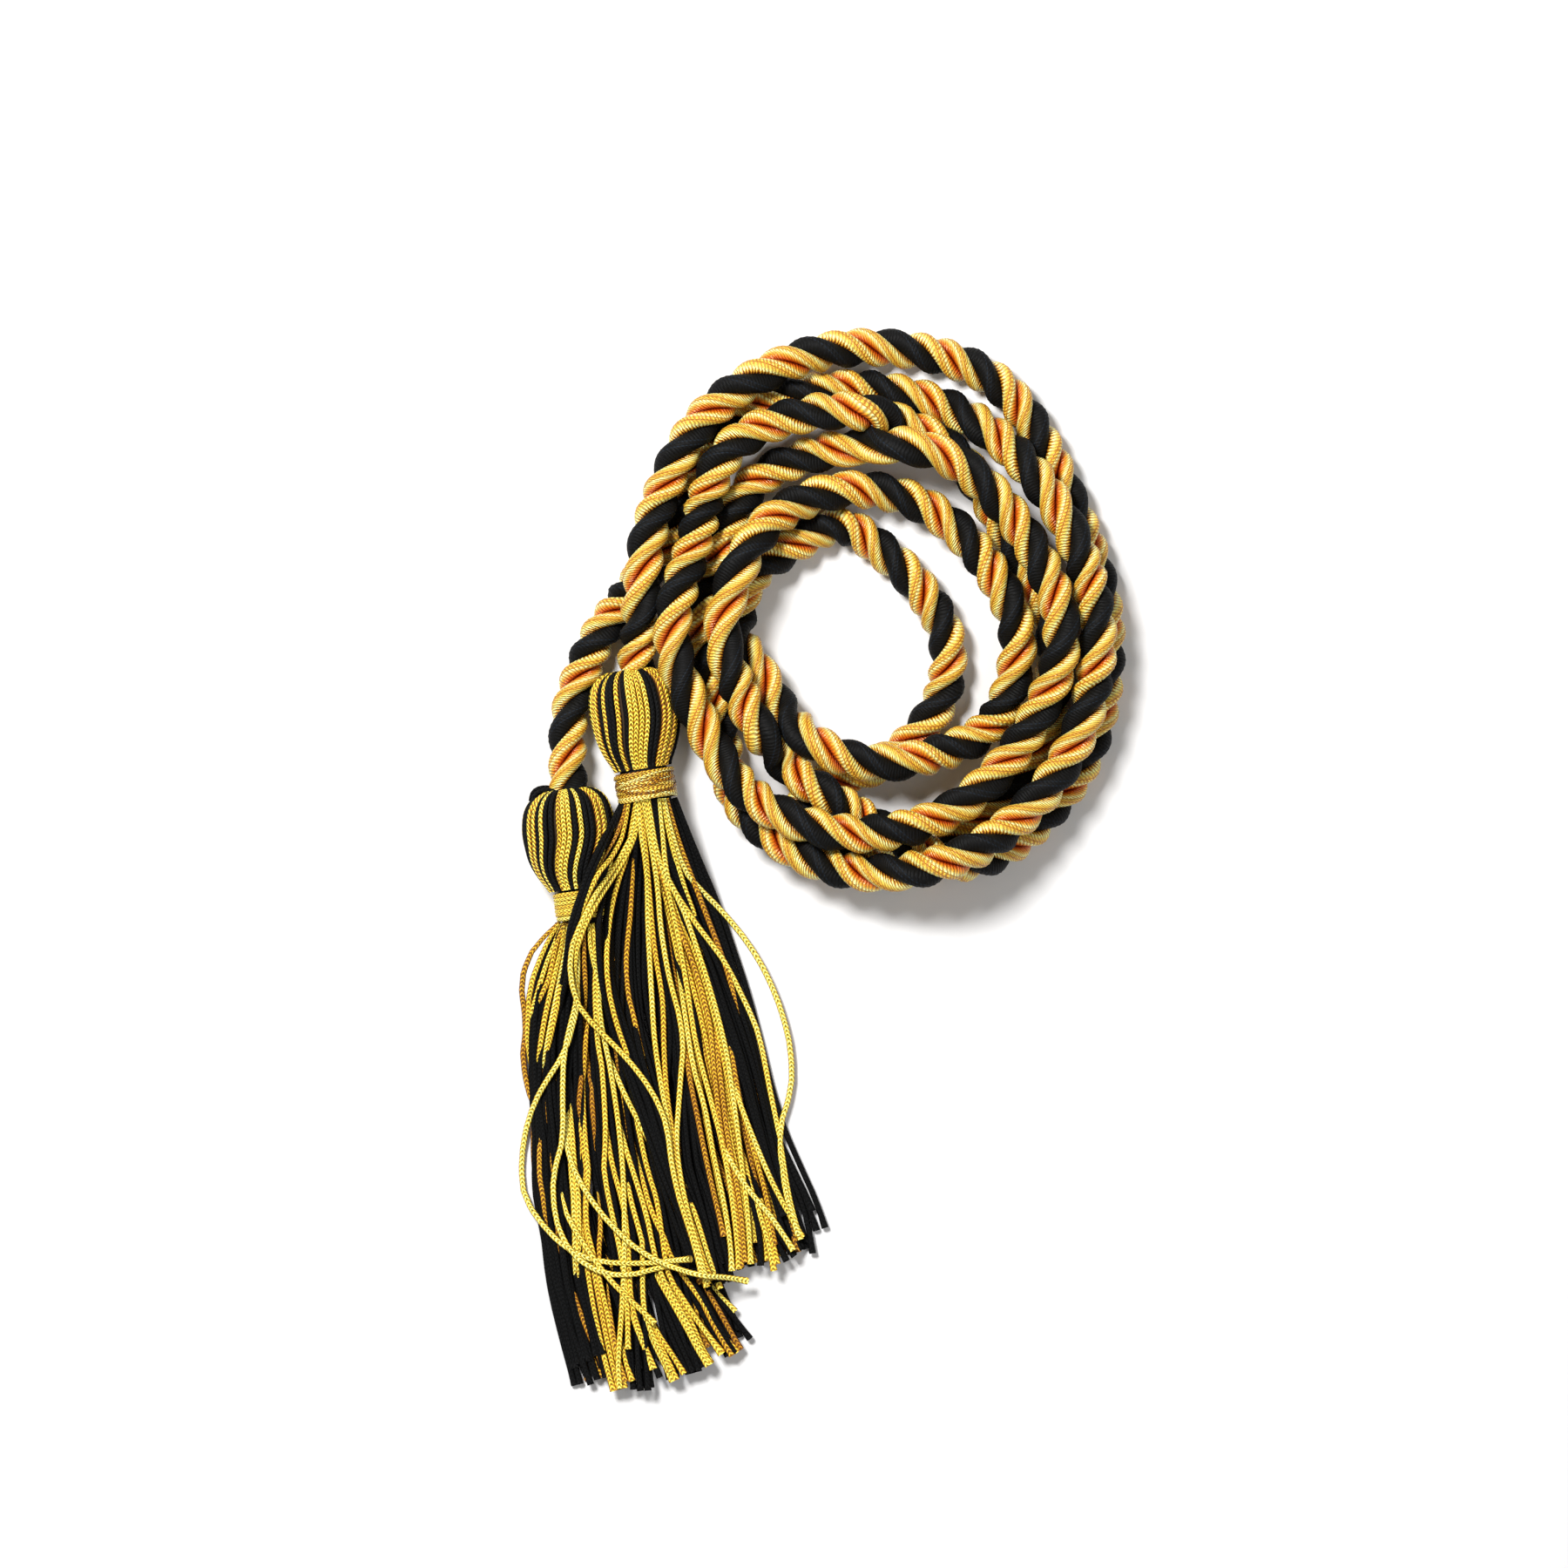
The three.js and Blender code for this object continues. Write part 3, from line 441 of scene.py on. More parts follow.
LEFT_BUNDLES = [
    ("black", 0.8, [(650, 1060), (640, 1120), (630, 1180), (626, 1240), (628, 1300), (633, 1360),
        (641, 1420), (650, 1480), (662, 1530), (678, 1588)], 8, (6, 30, 34)),
    ("black", 0.95, [(646, 1060), (624, 1110), (614, 1160), (611, 1210), (612, 1260), (613, 1310),
        (613, 1364), (620, 1400), (630, 1440), (635, 1473), (645, 1510), (657, 1550),
        (669, 1594)], 4, (3, 8, 8)),
    ("black", 0.9, [(664, 1060), (664, 1110), (662, 1160), (660, 1220), (658, 1280), (658, 1340),
        (660, 1400), (664, 1450), (674, 1510), (690, 1580)], 6, (8, 28, 24)),
    ("black", 0.85, [(674, 1060), (680, 1110), (684, 1160), (688, 1220), (694, 1280), (702, 1340),
        (710, 1400), (718, 1460), (728, 1520), (736, 1596)], 7, (8, 30, 22)),
    ("black", 0.9, [(682, 1060), (696, 1110), (708, 1160), (718, 1220), (728, 1280), (739, 1340),
        (748, 1400), (758, 1460), (772, 1520), (788, 1580)], 8, (8, 34, 40)),
    ("black", 0.8, [(688, 1060), (704, 1120), (722, 1180), (738, 1240), (754, 1300), (770, 1360),
        (786, 1420), (806, 1480), (830, 1540)], 6, (6, 26, 26)),
    (2, 0.9, [(642, 1059), (625, 1075), (611, 1092), (602, 1111), (598, 1136), (602, 1178), (598, 1213),
        (603, 1248), (612, 1275), (624, 1300)]),
    (6, 1.13, [(642, 1060), (628, 1082), (619, 1103), (611, 1126), (605, 1171), (603, 1200), (610, 1240)]),
    (7, 1.1, [(646, 1060), (634, 1088), (625, 1111), (613, 1155), (605, 1180), (601, 1205)]),
    (4, 1.13, [(648, 1060), (640, 1082), (630, 1121), (619, 1148), (607, 1172), (602, 1190)]),
    (8, 1.15, [(650, 1060), (646, 1088), (636, 1132), (625, 1178), (616, 1228), (613, 1252)], 2, (4, 8, 5)),
    (6, 1.13, [(654, 1060), (652, 1095), (645, 1130), (636, 1168), (628, 1200), (620, 1240)]),
    (9, 1.35, [(658, 1060), (660, 1110), (663, 1150), (655, 1182), (648, 1205), (635, 1228), (622, 1247),
        (612, 1268), (604, 1290), (599, 1315), (597, 1340), (598, 1360), (603, 1380), (613, 1395),
        (640, 1425), (675, 1445), (730, 1451), (785, 1446), (793, 1445)]),
    (9, 1.4, [(664, 1060), (664, 1110), (661, 1158), (653, 1186), (647, 1223), (646, 1261), (645, 1310),
        (638, 1335), (634, 1364), (640, 1410), (659, 1443), (690, 1462), (721, 1465), (750, 1458),
        (775, 1452)]),
    (9, 1.5, [(650, 1270), (650, 1314), (657, 1339), (677, 1375), (705, 1410), (736, 1437), (771, 1454),
        (811, 1464), (850, 1469), (858, 1472)]),
    (8, 1.4, [(642, 1350), (648, 1387), (667, 1425), (694, 1464), (725, 1495), (740, 1508), (752, 1520)]),
    (2, 1.1, [(671, 1060), (671, 1103), (672, 1123), (673, 1144), (672, 1170)]),
    (4, 1.13, [(678, 1145), (675, 1175), (671, 1203), (671, 1228), (668, 1260)]),
    (7, 1.15, [(681, 1060), (684, 1100), (683, 1140), (686, 1200), (690, 1223), (692, 1252), (694, 1309),
        (692, 1339), (700, 1387), (709, 1425), (715, 1460), (719, 1500), (720, 1550)]),
    (8, 1.2, [(677, 1060), (678, 1088), (684, 1113), (689, 1130), (688, 1155), (692, 1185), (698, 1213),
        (703, 1242), (711, 1300), (715, 1348), (716, 1425), (713, 1502), (709, 1570), (711, 1595)]),
    (6, 1.1, [(692, 1262), (700, 1329), (707, 1358), (715, 1387), (720, 1430), (722, 1470), (726, 1505),
        (734, 1533), (743, 1556), (750, 1573)]),
    (7, 1.15, [(702, 1255), (717, 1320), (725, 1345), (732, 1366), (742, 1398), (750, 1435), (757, 1460),
        (769, 1483), (782, 1506), (794, 1529), (804, 1550), (815, 1568)]),
    (7, 1.12, [(710, 1320), (723, 1373), (728, 1397), (736, 1418), (738, 1450), (738, 1485), (742, 1518),
        (750, 1537), (759, 1556), (768, 1576)]),
    (6, 1.1, [(720, 1245), (736, 1316), (742, 1345), (750, 1368), (756, 1400), (762, 1440), (768, 1465),
        (780, 1487), (795, 1510), (808, 1529), (820, 1545), (828, 1556)]),
    (5, 1.12, [(728, 1315), (744, 1383), (753, 1406), (763, 1425), (771, 1448), (786, 1468), (802, 1490),
        (817, 1512), (831, 1535), (846, 1554)]),
    (8, 1.25, [(690, 1185), (698, 1211), (713, 1250), (738, 1298), (750, 1320), (758, 1345), (768, 1375),
        (788, 1425), (796, 1445), (806, 1470)]),
    (5, 1.15, [(710, 1230), (721, 1250), (740, 1288), (750, 1305), (765, 1345), (775, 1375), (785, 1400),
        (799, 1435)]),
    (1, 1.08, [(664, 1195), (666, 1240), (664, 1270), (668, 1315)]),
    (1, 1.08, [(680, 1215), (679, 1255), (681, 1290), (684, 1335)]),
    (2, 1.1, [(614, 1265), (619, 1310), (618, 1348), (622, 1373), (624, 1395), (632, 1440)]),
    (7, 1.1, [(651, 1255), (655, 1300), (657, 1348), (659, 1377), (660, 1406), (661, 1435), (660, 1462),
        (666, 1492)], 2, (4, 6, 5)),
    (7, 1.1, [(668, 1205), (665, 1260), (667, 1310), (671, 1348), (669, 1377), (668, 1406), (673, 1430),
        (680, 1464), (690, 1512), (700, 1560), (710, 1597)], 3, (4, 8, 10)),
    (4, 1.13, [(684, 1360), (688, 1397), (688, 1418), (686, 1445), (692, 1485)]),
    (3, 1.05, [(696, 1470), (700, 1510), (706, 1550), (716, 1588)]),
    (7, 1.1, [(714, 1465), (723, 1502), (732, 1531), (742, 1556), (750, 1573)]),
    (8, 1.15, [(732, 1485), (742, 1518), (750, 1537), (759, 1556), (767, 1573), (773, 1587)], 2, (4, 6, 7)),
    (6, 1.1, [(738, 1490), (748, 1523), (763, 1545), (775, 1562), (784, 1579)]),
    (6, 1.05, [(710, 1520), (717, 1560), (725, 1587)]),
    (8, 1.15, [(740, 1430), (755, 1460), (769, 1483), (782, 1506), (794, 1529), (804, 1550),
        (815, 1568)], 2, (4, 7, 7)),
    (7, 1.1, [(750, 1435), (763, 1460), (778, 1483), (794, 1508), (807, 1527), (819, 1543), (828, 1556)]),
    (2, 1.05, [(786, 1450), (802, 1477), (817, 1506), (831, 1531), (846, 1554)], 2, (3, 7, 8)),
    (8, 1.15, [(804, 1455), (815, 1475), (828, 1492), (843, 1508)]),
    ("black", 1.15, [(742, 1450), (738, 1502), (736, 1541), (738, 1598)], 2, (3, 5, 6)),
    ("black", 1.15, [(730, 1520), (744, 1550), (757, 1583)]),
    ("black", 1.05, [(730, 1430), (750, 1470), (767, 1505), (785, 1545), (798, 1575)], 5, (4, 12, 18)),
    ("black", 1.1, [(757, 1415), (775, 1445), (793, 1475), (821, 1522), (840, 1556)], 2, (3, 6, 6)),
    ("black", 1.15, [(800, 1462), (814, 1481), (832, 1502), (848, 1523), (861, 1539)]),
]
RIGHT_OUTLINE = {
    "left": [(716, 917), (702, 990), (698, 1060), (696, 1130), (708, 1200), (738, 1290),
        (772, 1390), (800, 1476)],
    "right": [(773, 917), (797, 990), (826, 1060), (851, 1130), (866, 1200), (888, 1290),
        (914, 1380), (932, 1436)],
}
LEFT_OUTLINE = {
    "left": [(638, 1060), (618, 1110), (606, 1180), (607, 1270), (608, 1350), (621, 1430),
        (645, 1510), (668, 1590)],
    "right": [(692, 1060), (710, 1110), (730, 1180), (752, 1260), (774, 1330), (802, 1400),
        (830, 1470), (858, 1538)],
}

# The left tassel's outer radius by the distance past the middle of its neck, towards the tips, both in
# millimetres, and how far aside its axis lies by that distance
LEFT_BODY_PLACES = [-24, -21.5, -17, -10, -5, -3.2, 3.2, 8, 20, 36, 97]
LEFT_BODY_RADII = [0, 6.5, 8.8, 8.6, 6.4, 5.5, 5.5, 5.4, 6.6, 9, 17]
LEFT_AXIS_PLACES = [0, 20 * MM, 97 * MM]
LEFT_AXIS_ASIDE = [0, -1 * MM, 2 * MM]
# How far past the neck the skirts end, and how gently their upper sides fall off there and at the sides
LEFT_LENGTH = 99 * MM
RIGHT_LENGTH = 105 * MM
END_FALL = 6 * MM
EDGE_FALL = 5 * MM
TOP_EDGE_WIDTH = 0.2
TOP_EDGE_START = 0.8
RIGHT_TOP_LEVEL = 1.3


def neck_place(rope_end, turn, aside):
    """The middle of a tassel's neck, from where the rope ends in the top of its head."""
    angle = math.radians(turn)
    across = aside * HEAD_RADIUS
    reach = NECK_LENGTH / 2 + CLEARANCE + HEAD_LENGTH - ROPE_DEPTH
    x = rope_end[0] * COIL_RADIUS - across * math.cos(angle) + reach * math.sin(angle)
    y = rope_end[1] * COIL_RADIUS - across * math.sin(angle) - reach * math.cos(angle)
    return (x, y)


LEFT_NECK = neck_place(LEFT_TAIL[0], LEFT_TURN, LEFT_ASIDE)
RIGHT_NECK = neck_place(RIGHT_TAIL[0], RIGHT_TURN, RIGHT_ASIDE)


def neck_shift():
    """How far the CAD model's origin lies from the one that the tables above use."""
    low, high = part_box("left_neck_winding")
    return Vector(((low[0] + high[0]) / 2 - LEFT_NECK[0], (low[1] + high[1]) / 2 - LEFT_NECK[1], 0))


SHIFT = neck_shift()


def photo_point(pixel, height=0.0):
    """The point of the table that a pixel of the photograph shows."""
    x = (pixel[0] - ORIGIN_PIXEL[0]) * PIXEL
    y = (ORIGIN_PIXEL[1] - pixel[1]) * PIXEL
    return (x, y, height)


def clock_point(hour, reach, rank):
    """The point of the coil at an hour of the clock, with its rank in place of its height."""
    angle = hour / 12 * 2 * math.pi
    x = COIL_CENTRE[0] + math.sin(angle) * reach
    y = COIL_CENTRE[1] + math.cos(angle) * reach
    return (x * COIL_RADIUS, y * COIL_RADIUS, rank * MM)


def turn_points(turns):
    """The points of several turns, one after another."""
    return [
        clock_point(hour, reach, rank)
        for turn in turns
        for hour, reach, rank in zip(HOURS, turn["reach"], turn["rank"])
    ]


def smooth_curve(points, step):
    """A smooth curve through some points, as points a step apart."""
    points = np.array(points, float)
    first = 2 * points[0] - points[1]
    last = 2 * points[-1] - points[-2]
    knots = np.vstack([first, points, last])
    share = np.linspace(0, 1, CURVE_SAMPLES, endpoint=False)[:, None]
    fine = []
    for i in range(len(points) - 1):
        before, start, end, after = knots[i:i + 4]
        pairs = ((before, start), (start, end), (end, after))
        gaps = [max(np.linalg.norm(b - a), SMALLEST_GAP) ** 0.5 for a, b in pairs]
        leaving = (start - before) / gaps[0] - (end - before) / (gaps[0] + gaps[1]) + (end - start) / gaps[1]
        arriving = (end - start) / gaps[1] - (after - start) / (gaps[1] + gaps[2]) + (after - end) / gaps[2]
        leaving = leaving * gaps[1]
        arriving = arriving * gaps[1]
        square = -3 * start + 3 * end - 2 * leaving - arriving
        cube = 2 * start - 2 * end + leaving + arriving
        fine.append(start + leaving * share + square * share ** 2 + cube * share ** 3)
    return resample(np.vstack(fine + [points[-1:]]), step)


def distances(points):
    """The distance along a line of points to each of them."""
    steps = np.linalg.norm(np.diff(points, axis=0), axis=1)
    return np.concatenate([[0], np.cumsum(steps)])


def resample(points, step):
    """The same line with its points evenly spaced, about a step apart."""
    along = distances(points)
    count = max(2, int(round(along[-1] / step)) + 1)
    wanted = np.linspace(0, along[-1], count)
    return np.stack([np.interp(wanted, along, points[:, k]) for k in range(points.shape[1])], axis=1)


def unit(rows):
    """The same vectors, each with a length of 1."""
    return rows / np.linalg.norm(rows, axis=1)[:, None]


def circle(count):
    """Angles evenly spaced round a circle."""
    return np.arange(count) / count * 2 * math.pi


def plan_points():
    """The points chosen along the rope, from the left tassel to the right one, with the ranks as heights."""
    left_tail = [(x * COIL_RADIUS, y * COIL_RADIUS, MM) for x, y in LEFT_TAIL]
    right_tail = [(x * COIL_RADIUS, y * COIL_RADIUS, 2 * MM) for x, y in RIGHT_TAIL]
    fold = [clock_point(hour, reach, 0) for hour, reach in FOLD]
    outward = (right_tail + turn_points(RIGHT_TURNS))[::-1]
    return left_tail + turn_points(LEFT_TURNS) + fold + outward


def lay_route():
    """The rope's middle line on the table, from the left tassel to the right one."""
    points = smooth_curve(plan_points(), ROUTE_STEP)
    count = len(points) - 1
    radius = ROPE_DIAMETER / 2
    apart = ROPE_DIAMETER + CLEARANCE
    nearest = math.ceil(NEAREST_TOUCH * ROPE_DIAMETER / ROUTE_STEP)
    gaps = np.hypot(*(points[:, None, k] - points[None, :, k] for k in (0, 1)))
    pairs = []
    for i, j in np.argwhere(gaps < apart):
        if j < i + nearest:
            continue
        low, high = (i, j) if points[i, 2] <= points[j, 2] else (j, i)
        pairs.append((int(low), int(high), math.sqrt(apart ** 2 - gaps[i, j] ** 2)))
    heights = [radius + max(0, z) * ROPE_DIAMETER / MM * RANK_RISE for z in points[:, 2]]
    for _ in range(SETTLING_PASSES):
        heights = [height - SINKING for height in heights]
        for low, high, rise in pairs:
            missing = rise - (heights[high] - heights[low])
            if missing > 0:
                heights[high] += missing * YIELD
                heights[low] -= missing * YIELD
        before = heights[:]
        for i in range(1, count):
            heights[i] += BENDING * ((before[i - 1] + before[i + 1]) / 2 - before[i])
        heights = [max(height, radius + CLEARANCE / 2) for height in heights]
        heights[0] = HEAD_HALF_HEIGHT
        heights[count] = HEAD_HALF_HEIGHT
    points[:, 2] = heights
    return points


def frames(points, outward=(0, 0, 1.0)):
    """For each point of a line: the way outward across it, and the way across both."""
    along = unit(np.gradient(points, axis=0))
    out = unit(outward - along * np.sum(outward * along, axis=1)[:, None])
    return out, np.cross(along, out)


def swept_rings(points, up, side, angles, size, height=1, width=1):
    """Rings of points round a line. The height and the width are shares of the size."""
    tall = np.cos(angles)[..., None] * up[:, None, :] * height
    wide = np.sin(angles)[..., None] * side[:, None, :] * width
    return points[:, None, :] + np.reshape(size, (-1, 1, 1)) * (tall + wide)


def plan_marks(line):
    """The place along the rope of each chosen point, as an index of the fine line."""
    marks = []
    cursor = 0
    for point in plan_points():
        ahead = line[cursor:cursor + int(SEARCH_LENGTH / FINE_STEP), :2]
        cursor += int(np.argmin(np.hypot(*(ahead - np.array(point[:2])).T)))
        marks.append(cursor)
    return marks


def turn_mark(marks, strand, turn, hour):
    """The index of the fine line at an hour of one strand's turn, or at that strand's tassel."""
    if turn is None:
        return marks[0] if strand == "left" else marks[-1]
    if strand == "left":
        return marks[len(LEFT_TAIL) + turn * len(HOURS) + HOURS.index(hour)]
    return marks[-1 - len(RIGHT_TAIL) - turn * len(HOURS) - HOURS.index(hour)]


def facing_places(line, row, marks):
    """Where along the rope a strand faces up as one row of the list says: (place, whether gold is up)."""
    step = 1 if row["strand"] == "left" else -1
    pitch = TWIST_PITCH / FINE_STEP
    cursor = turn_mark(marks, row["strand"], row["turn"], row["hour"])
    gold = row["first"] == "gold"
    places = []
    for number, pixel in enumerate(row["pixels"]):
        target = np.array(photo_point(pixel)[:2])
        low, high = FIRST_SEARCH if number == 0 else NEXT_SEARCH
        options = [cursor + step * k for k in range(int(low * pitch), int(high * pitch))]
        options = [k for k in options if 0 <= k < len(line)]
        cursor = min(options, key=lambda k: math.hypot(*(line[k, :2] - target)))
        places.append((cursor, gold))
        gold = not gold
    return sorted(places)


def twist_angles(line):
    """The angle of the black ply from straight up, at each point of the rope."""
    marks = plan_marks(line)
    pitch = TWIST_PITCH / FINE_STEP
    known = []
    for stretch in sorted(facing_places(line, row, marks) for row in FACING_UP):
        for number, (place, gold) in enumerate(stretch):
            phase = math.pi if gold else 0.0
            if not known:
                angle = phase
            elif number == 0:
                guess = known[-1][1] + (place - known[-1][0]) / pitch * 2 * math.pi
                angle = phase + 2 * math.pi * round((guess - phase) / (2 * math.pi))
            else:
                angle = known[-1][1] + math.pi
            known.append((place, angle))
    first, last = known[0], known[-1]
    end = len(line) - 1
    start_angle = first[1] - first[0] / pitch * 2 * math.pi
    end_angle = last[1] + (end - last[0]) / pitch * 2 * math.pi
    known = [(0, start_angle)] + known + [(end, end_angle)]
    angles = np.interp(np.arange(len(line)), [k for k, _ in known], [v for _, v in known])
    window = np.hanning(int(TWIST_EVENING / FINE_STEP) | 1)
    padded = np.pad(angles, len(window) // 2, mode="reflect", reflect_type="odd")
    return np.convolve(padded, window / window.sum(), mode="valid")


def new_mesh(name, vertices, quads, uvs, materials, material_of_face):
    """A smooth object from arrays: vertices, four-cornered faces, one uv for each face corner."""
    mesh = bpy.data.meshes.new(name)
    vertices = np.asarray(vertices, np.float32)
    quads = np.asarray(quads, np.int32)
    mesh.vertices.add(len(vertices))
    mesh.vertices.foreach_set("co", vertices.ravel())
    mesh.loops.add(quads.size)
    mesh.loops.foreach_set("vertex_index", quads.ravel())
    mesh.polygons.add(len(quads))
    mesh.polygons.foreach_set("loop_start", np.arange(0, quads.size, 4, dtype=np.int32))
    mesh.polygons.foreach_set("loop_total", np.full(len(quads), 4, np.int32))
    for material in materials:
        mesh.materials.append(material)
    mesh.polygons.foreach_set("material_index", np.asarray(material_of_face, np.int32))
    mesh.polygons.foreach_set("use_smooth", np.full(len(quads), True))
    layer = mesh.uv_layers.new(name="UVMap")
    layer.data.foreach_set("uv", np.asarray(uvs, np.float32).ravel())
    mesh.update()
    mesh.validate()
    piece = bpy.data.objects.new(name, mesh)
    bpy.context.scene.collection.objects.link(piece)
    return piece


class Tubes:
    """Collects swept tubes and makes one object of them."""

    def __init__(self):
        self.vertices = []
        self.quads = []
        self.uvs = []
        self.kinds = []
        self.count = 0

    def add(self, rings, around, along, kind, capped=False):
        """rings is an array of rings of points; around and along are the uv of each point."""
        rows, sides = rings.shape[:2]
        index = self.count + np.arange(rows * sides).reshape(rows, sides)
        following = np.roll(index, -1, axis=1)
        quads = np.stack([index[:-1], following[:-1], following[1:], index[1:]], axis=-1).reshape(-1, 4)
        u0 = np.broadcast_to(around, (rows, sides))
        u1 = np.roll(u0, -1, axis=1).copy()
        u1[:, -1] = u0[:, 0] + np.sign(u0[:, 1] - u0[:, 0])
        v = np.broadcast_to(np.asarray(along)[:, None], (rows, sides))
        pairs = ((u0[:-1], v[:-1]), (u1[:-1], v[:-1]), (u1[1:], v[1:]), (u0[1:], v[1:]))
        corners = [np.stack(pair, axis=-1) for pair in pairs]
        self.vertices.append(rings.reshape(-1, 3))
        self.add_faces(quads, np.stack(corners, axis=2).reshape(-1, 4, 2), kind)
        self.count += rows * sides
        if capped:
            for row, order in ((0, 1), (rows - 1, -1)):
                ring = index[row][::order]
                centre = (float(u0[row, 0]), float(np.asarray(along)[row]))
                for k in range(1, sides - 2, 2):
                    face = [ring[0], ring[k], ring[k + 1], ring[(k + 2) % sides]]
                    self.add_faces(np.array([face]), np.array([[centre] * 4]), kind)

    def add_faces(self, quads, uvs, kind):
        """Faces with their uvs and the number of their material."""
        self.quads.append(quads)
        self.uvs.append(uvs)
        self.kinds.append(np.full(len(quads), kind))

    def build(self, name, materials):
        """One object of all the tubes, with nothing below the table."""
        vertices = np.vstack(self.vertices) + np.array(SHIFT)
        vertices[:, 2] = np.maximum(vertices[:, 2], TABLE_GAP)
        kinds = np.concatenate(self.kinds)
        return new_mesh(name, vertices, np.vstack(self.quads), np.vstack(self.uvs), materials, kinds)


def node(tree, kind, inputs=None, **settings):
    """A shader node with its settings, and its inputs as values or as sockets to link."""
    made = tree.nodes.new(kind)
    for key, value in settings.items():
        setattr(made, key, value)
    for key, value in (inputs or {}).items():
        if isinstance(value, bpy.types.NodeSocket):
            tree.links.new(value, made.inputs[key])
        else:
            made.inputs[key].default_value = value
    return made


def math_node(tree, operation, *values):
    """The result of a Math node."""
    made = node(tree, "ShaderNodeMath", {k: v for k, v in enumerate(values)}, operation=operation)
    return made.outputs[0]


def ramp_node(tree, factor, stops):
    """A colour from a ramp of (place, colour) stops."""
    made = node(tree, "ShaderNodeValToRGB", {"Fac": factor})
    ramp = made.color_ramp
    ramp.elements.remove(ramp.elements[1])
    ramp.elements[0].position = stops[0][0]
    ramp.elements[0].color = (*stops[0][1], 1)
    for place, colour in stops[1:]:
        ramp.elements.new(place).color = (*colour, 1)
    return made.outputs["Color"]


def new_material(name):
    """A material with an empty tree and its shader: (material, tree, shader)."""
    material = bpy.data.materials.new(name)
    material.use_nodes = True
    tree = material.node_tree
    tree.nodes.clear()
    shader = tree.nodes.new("ShaderNodeBsdfPrincipled")
    output = tree.nodes.new("ShaderNodeOutputMaterial")
    tree.links.new(shader.outputs[0], output.inputs["Surface"])
    return material, tree, shader


def tube_places(tree):
    """The uv map, and where a point lies round its tube and along it."""
    uv = node(tree, "ShaderNodeUVMap", uv_map="UVMap").outputs[0]
    apart = node(tree, "ShaderNodeSeparateXYZ", {0: uv})
    return uv, apart.outputs[0], apart.outputs[1]


def noise(tree, uv, stretch, detail):
    """Noise over the uv map, finer the larger the stretch."""
    place = node(tree, "ShaderNodeMapping", {"Vector": uv, "Scale": (*stretch, 1)}).outputs[0]
    made = node(tree, "ShaderNodeTexNoise", {"Vector": place, "Scale": 1.0, "Detail": detail})
    return made.outputs["Fac"]


def waves(tree, place, pitch):
    """Waves between 0 and 1, a pitch apart."""
    wave = math_node(tree, "SINE", math_node(tree, "MULTIPLY", place, 2 * math.pi / pitch))
    return math_node(tree, "MULTIPLY_ADD", wave, 0.5, 0.5)


def smooth_range(tree, value, low, high, at_low, at_high):
    """A smooth step from one number where the value is low to another where it is high."""
    inputs = {0: value, 1: low, 2: high, 3: at_low, 4: at_high}
    return node(tree, "ShaderNodeMapRange", inputs, interpolation_type="SMOOTHSTEP").outputs[0]


def set_surface(tree, shader, colour, height, relief, bump, roughness, specular):
    """Gives a shader its colour, its fine relief and its gloss."""
    tree.links.new(colour, shader.inputs["Base Color"])
    inputs = {"Strength": bump, "Distance": relief, "Height": height}
    tree.links.new(node(tree, "ShaderNodeBump", inputs).outputs[0], shader.inputs["Normal"])
    shader.inputs["Roughness"].default_value = roughness
    shader.inputs["Specular IOR Level"].default_value = specular


def shaded_colour(tree, colour, shade, depth):
    """A colour times a shade. Below 1 it gets deeper as well as darker, and above 1 paler."""
    green = math_node(tree, "POWER", shade, 1 + depth)
    blue = math_node(tree, "POWER", shade, 1 + 2 * depth)
    shades = node(tree, "ShaderNodeCombineXYZ", {0: shade, 1: green, 2: blue}).outputs[0]
    return node(tree, "ShaderNodeVectorMath", {0: colour, 1: shades}, operation="MULTIPLY").outputs[0]


def ply_material(name, stops, roughness, specular, rib_shade, seam_shade, bump):
    """Fine thread wrapped round a ply. The stops colour it from one side, over the crown, to the other, with
    their painted highlight and shade.
    """
    material, tree, shader = new_material(name)
    uv, around, along = tube_places(tree)
    wander = noise(tree, uv, RIB_STRETCH, detail=3)
    slanted = math_node(tree, "MULTIPLY_ADD", around, RIB_SLANT, along)
    rib = waves(tree, math_node(tree, "MULTIPLY_ADD", wander, RIB_WANDER, slanted), RIB_PITCH)
    speckle = math_node(tree, "MULTIPLY_ADD", noise(tree, uv, SPECKLE_STRETCH, detail=2), *SPECKLE_RANGE)
    ribbed = math_node(tree, "MULTIPLY", rib, speckle)
    raised = math_node(tree, "SUBTRACT", ribbed, RIB_MIDDLE)
    colour = ramp_node(tree, math_node(tree, "MULTIPLY_ADD", raised, EDGE_JAG, around), stops)
    away = [math_node(tree, "ABSOLUTE", math_node(tree, "SUBTRACT", around, place)) for place in SEAM_PLACES]
    seams = math_node(tree, "MAXIMUM", *(smooth_range(tree, far, 0.0, SEAM_WIDTH, 1.0, 0.0) for far in away))
    seams = math_node(tree, "MULTIPLY", seams, math_node(tree, "MULTIPLY_ADD", rib, SEAM_RIBS, 1 - SEAM_RIBS))
    # The ribs' shade is painted shade between the wound threads, with a paler painted highlight on them
    shade = math_node(tree, "MULTIPLY_ADD", ribbed, rib_shade, 1 - rib_shade * RIB_BALANCE)
    shade = math_node(tree, "MULTIPLY", shade, math_node(tree, "MULTIPLY_ADD", seams, seam_shade, 1.0))
    colour = shaded_colour(tree, colour, shade, PLY_DEPTH)
    height = math_node(tree, "SUBTRACT", ribbed, math_node(tree, "MULTIPLY", seams, SEAM_DEPTH))
    set_surface(tree, shader, colour, height, RIB_RELIEF, bump, roughness, specular)
    return material


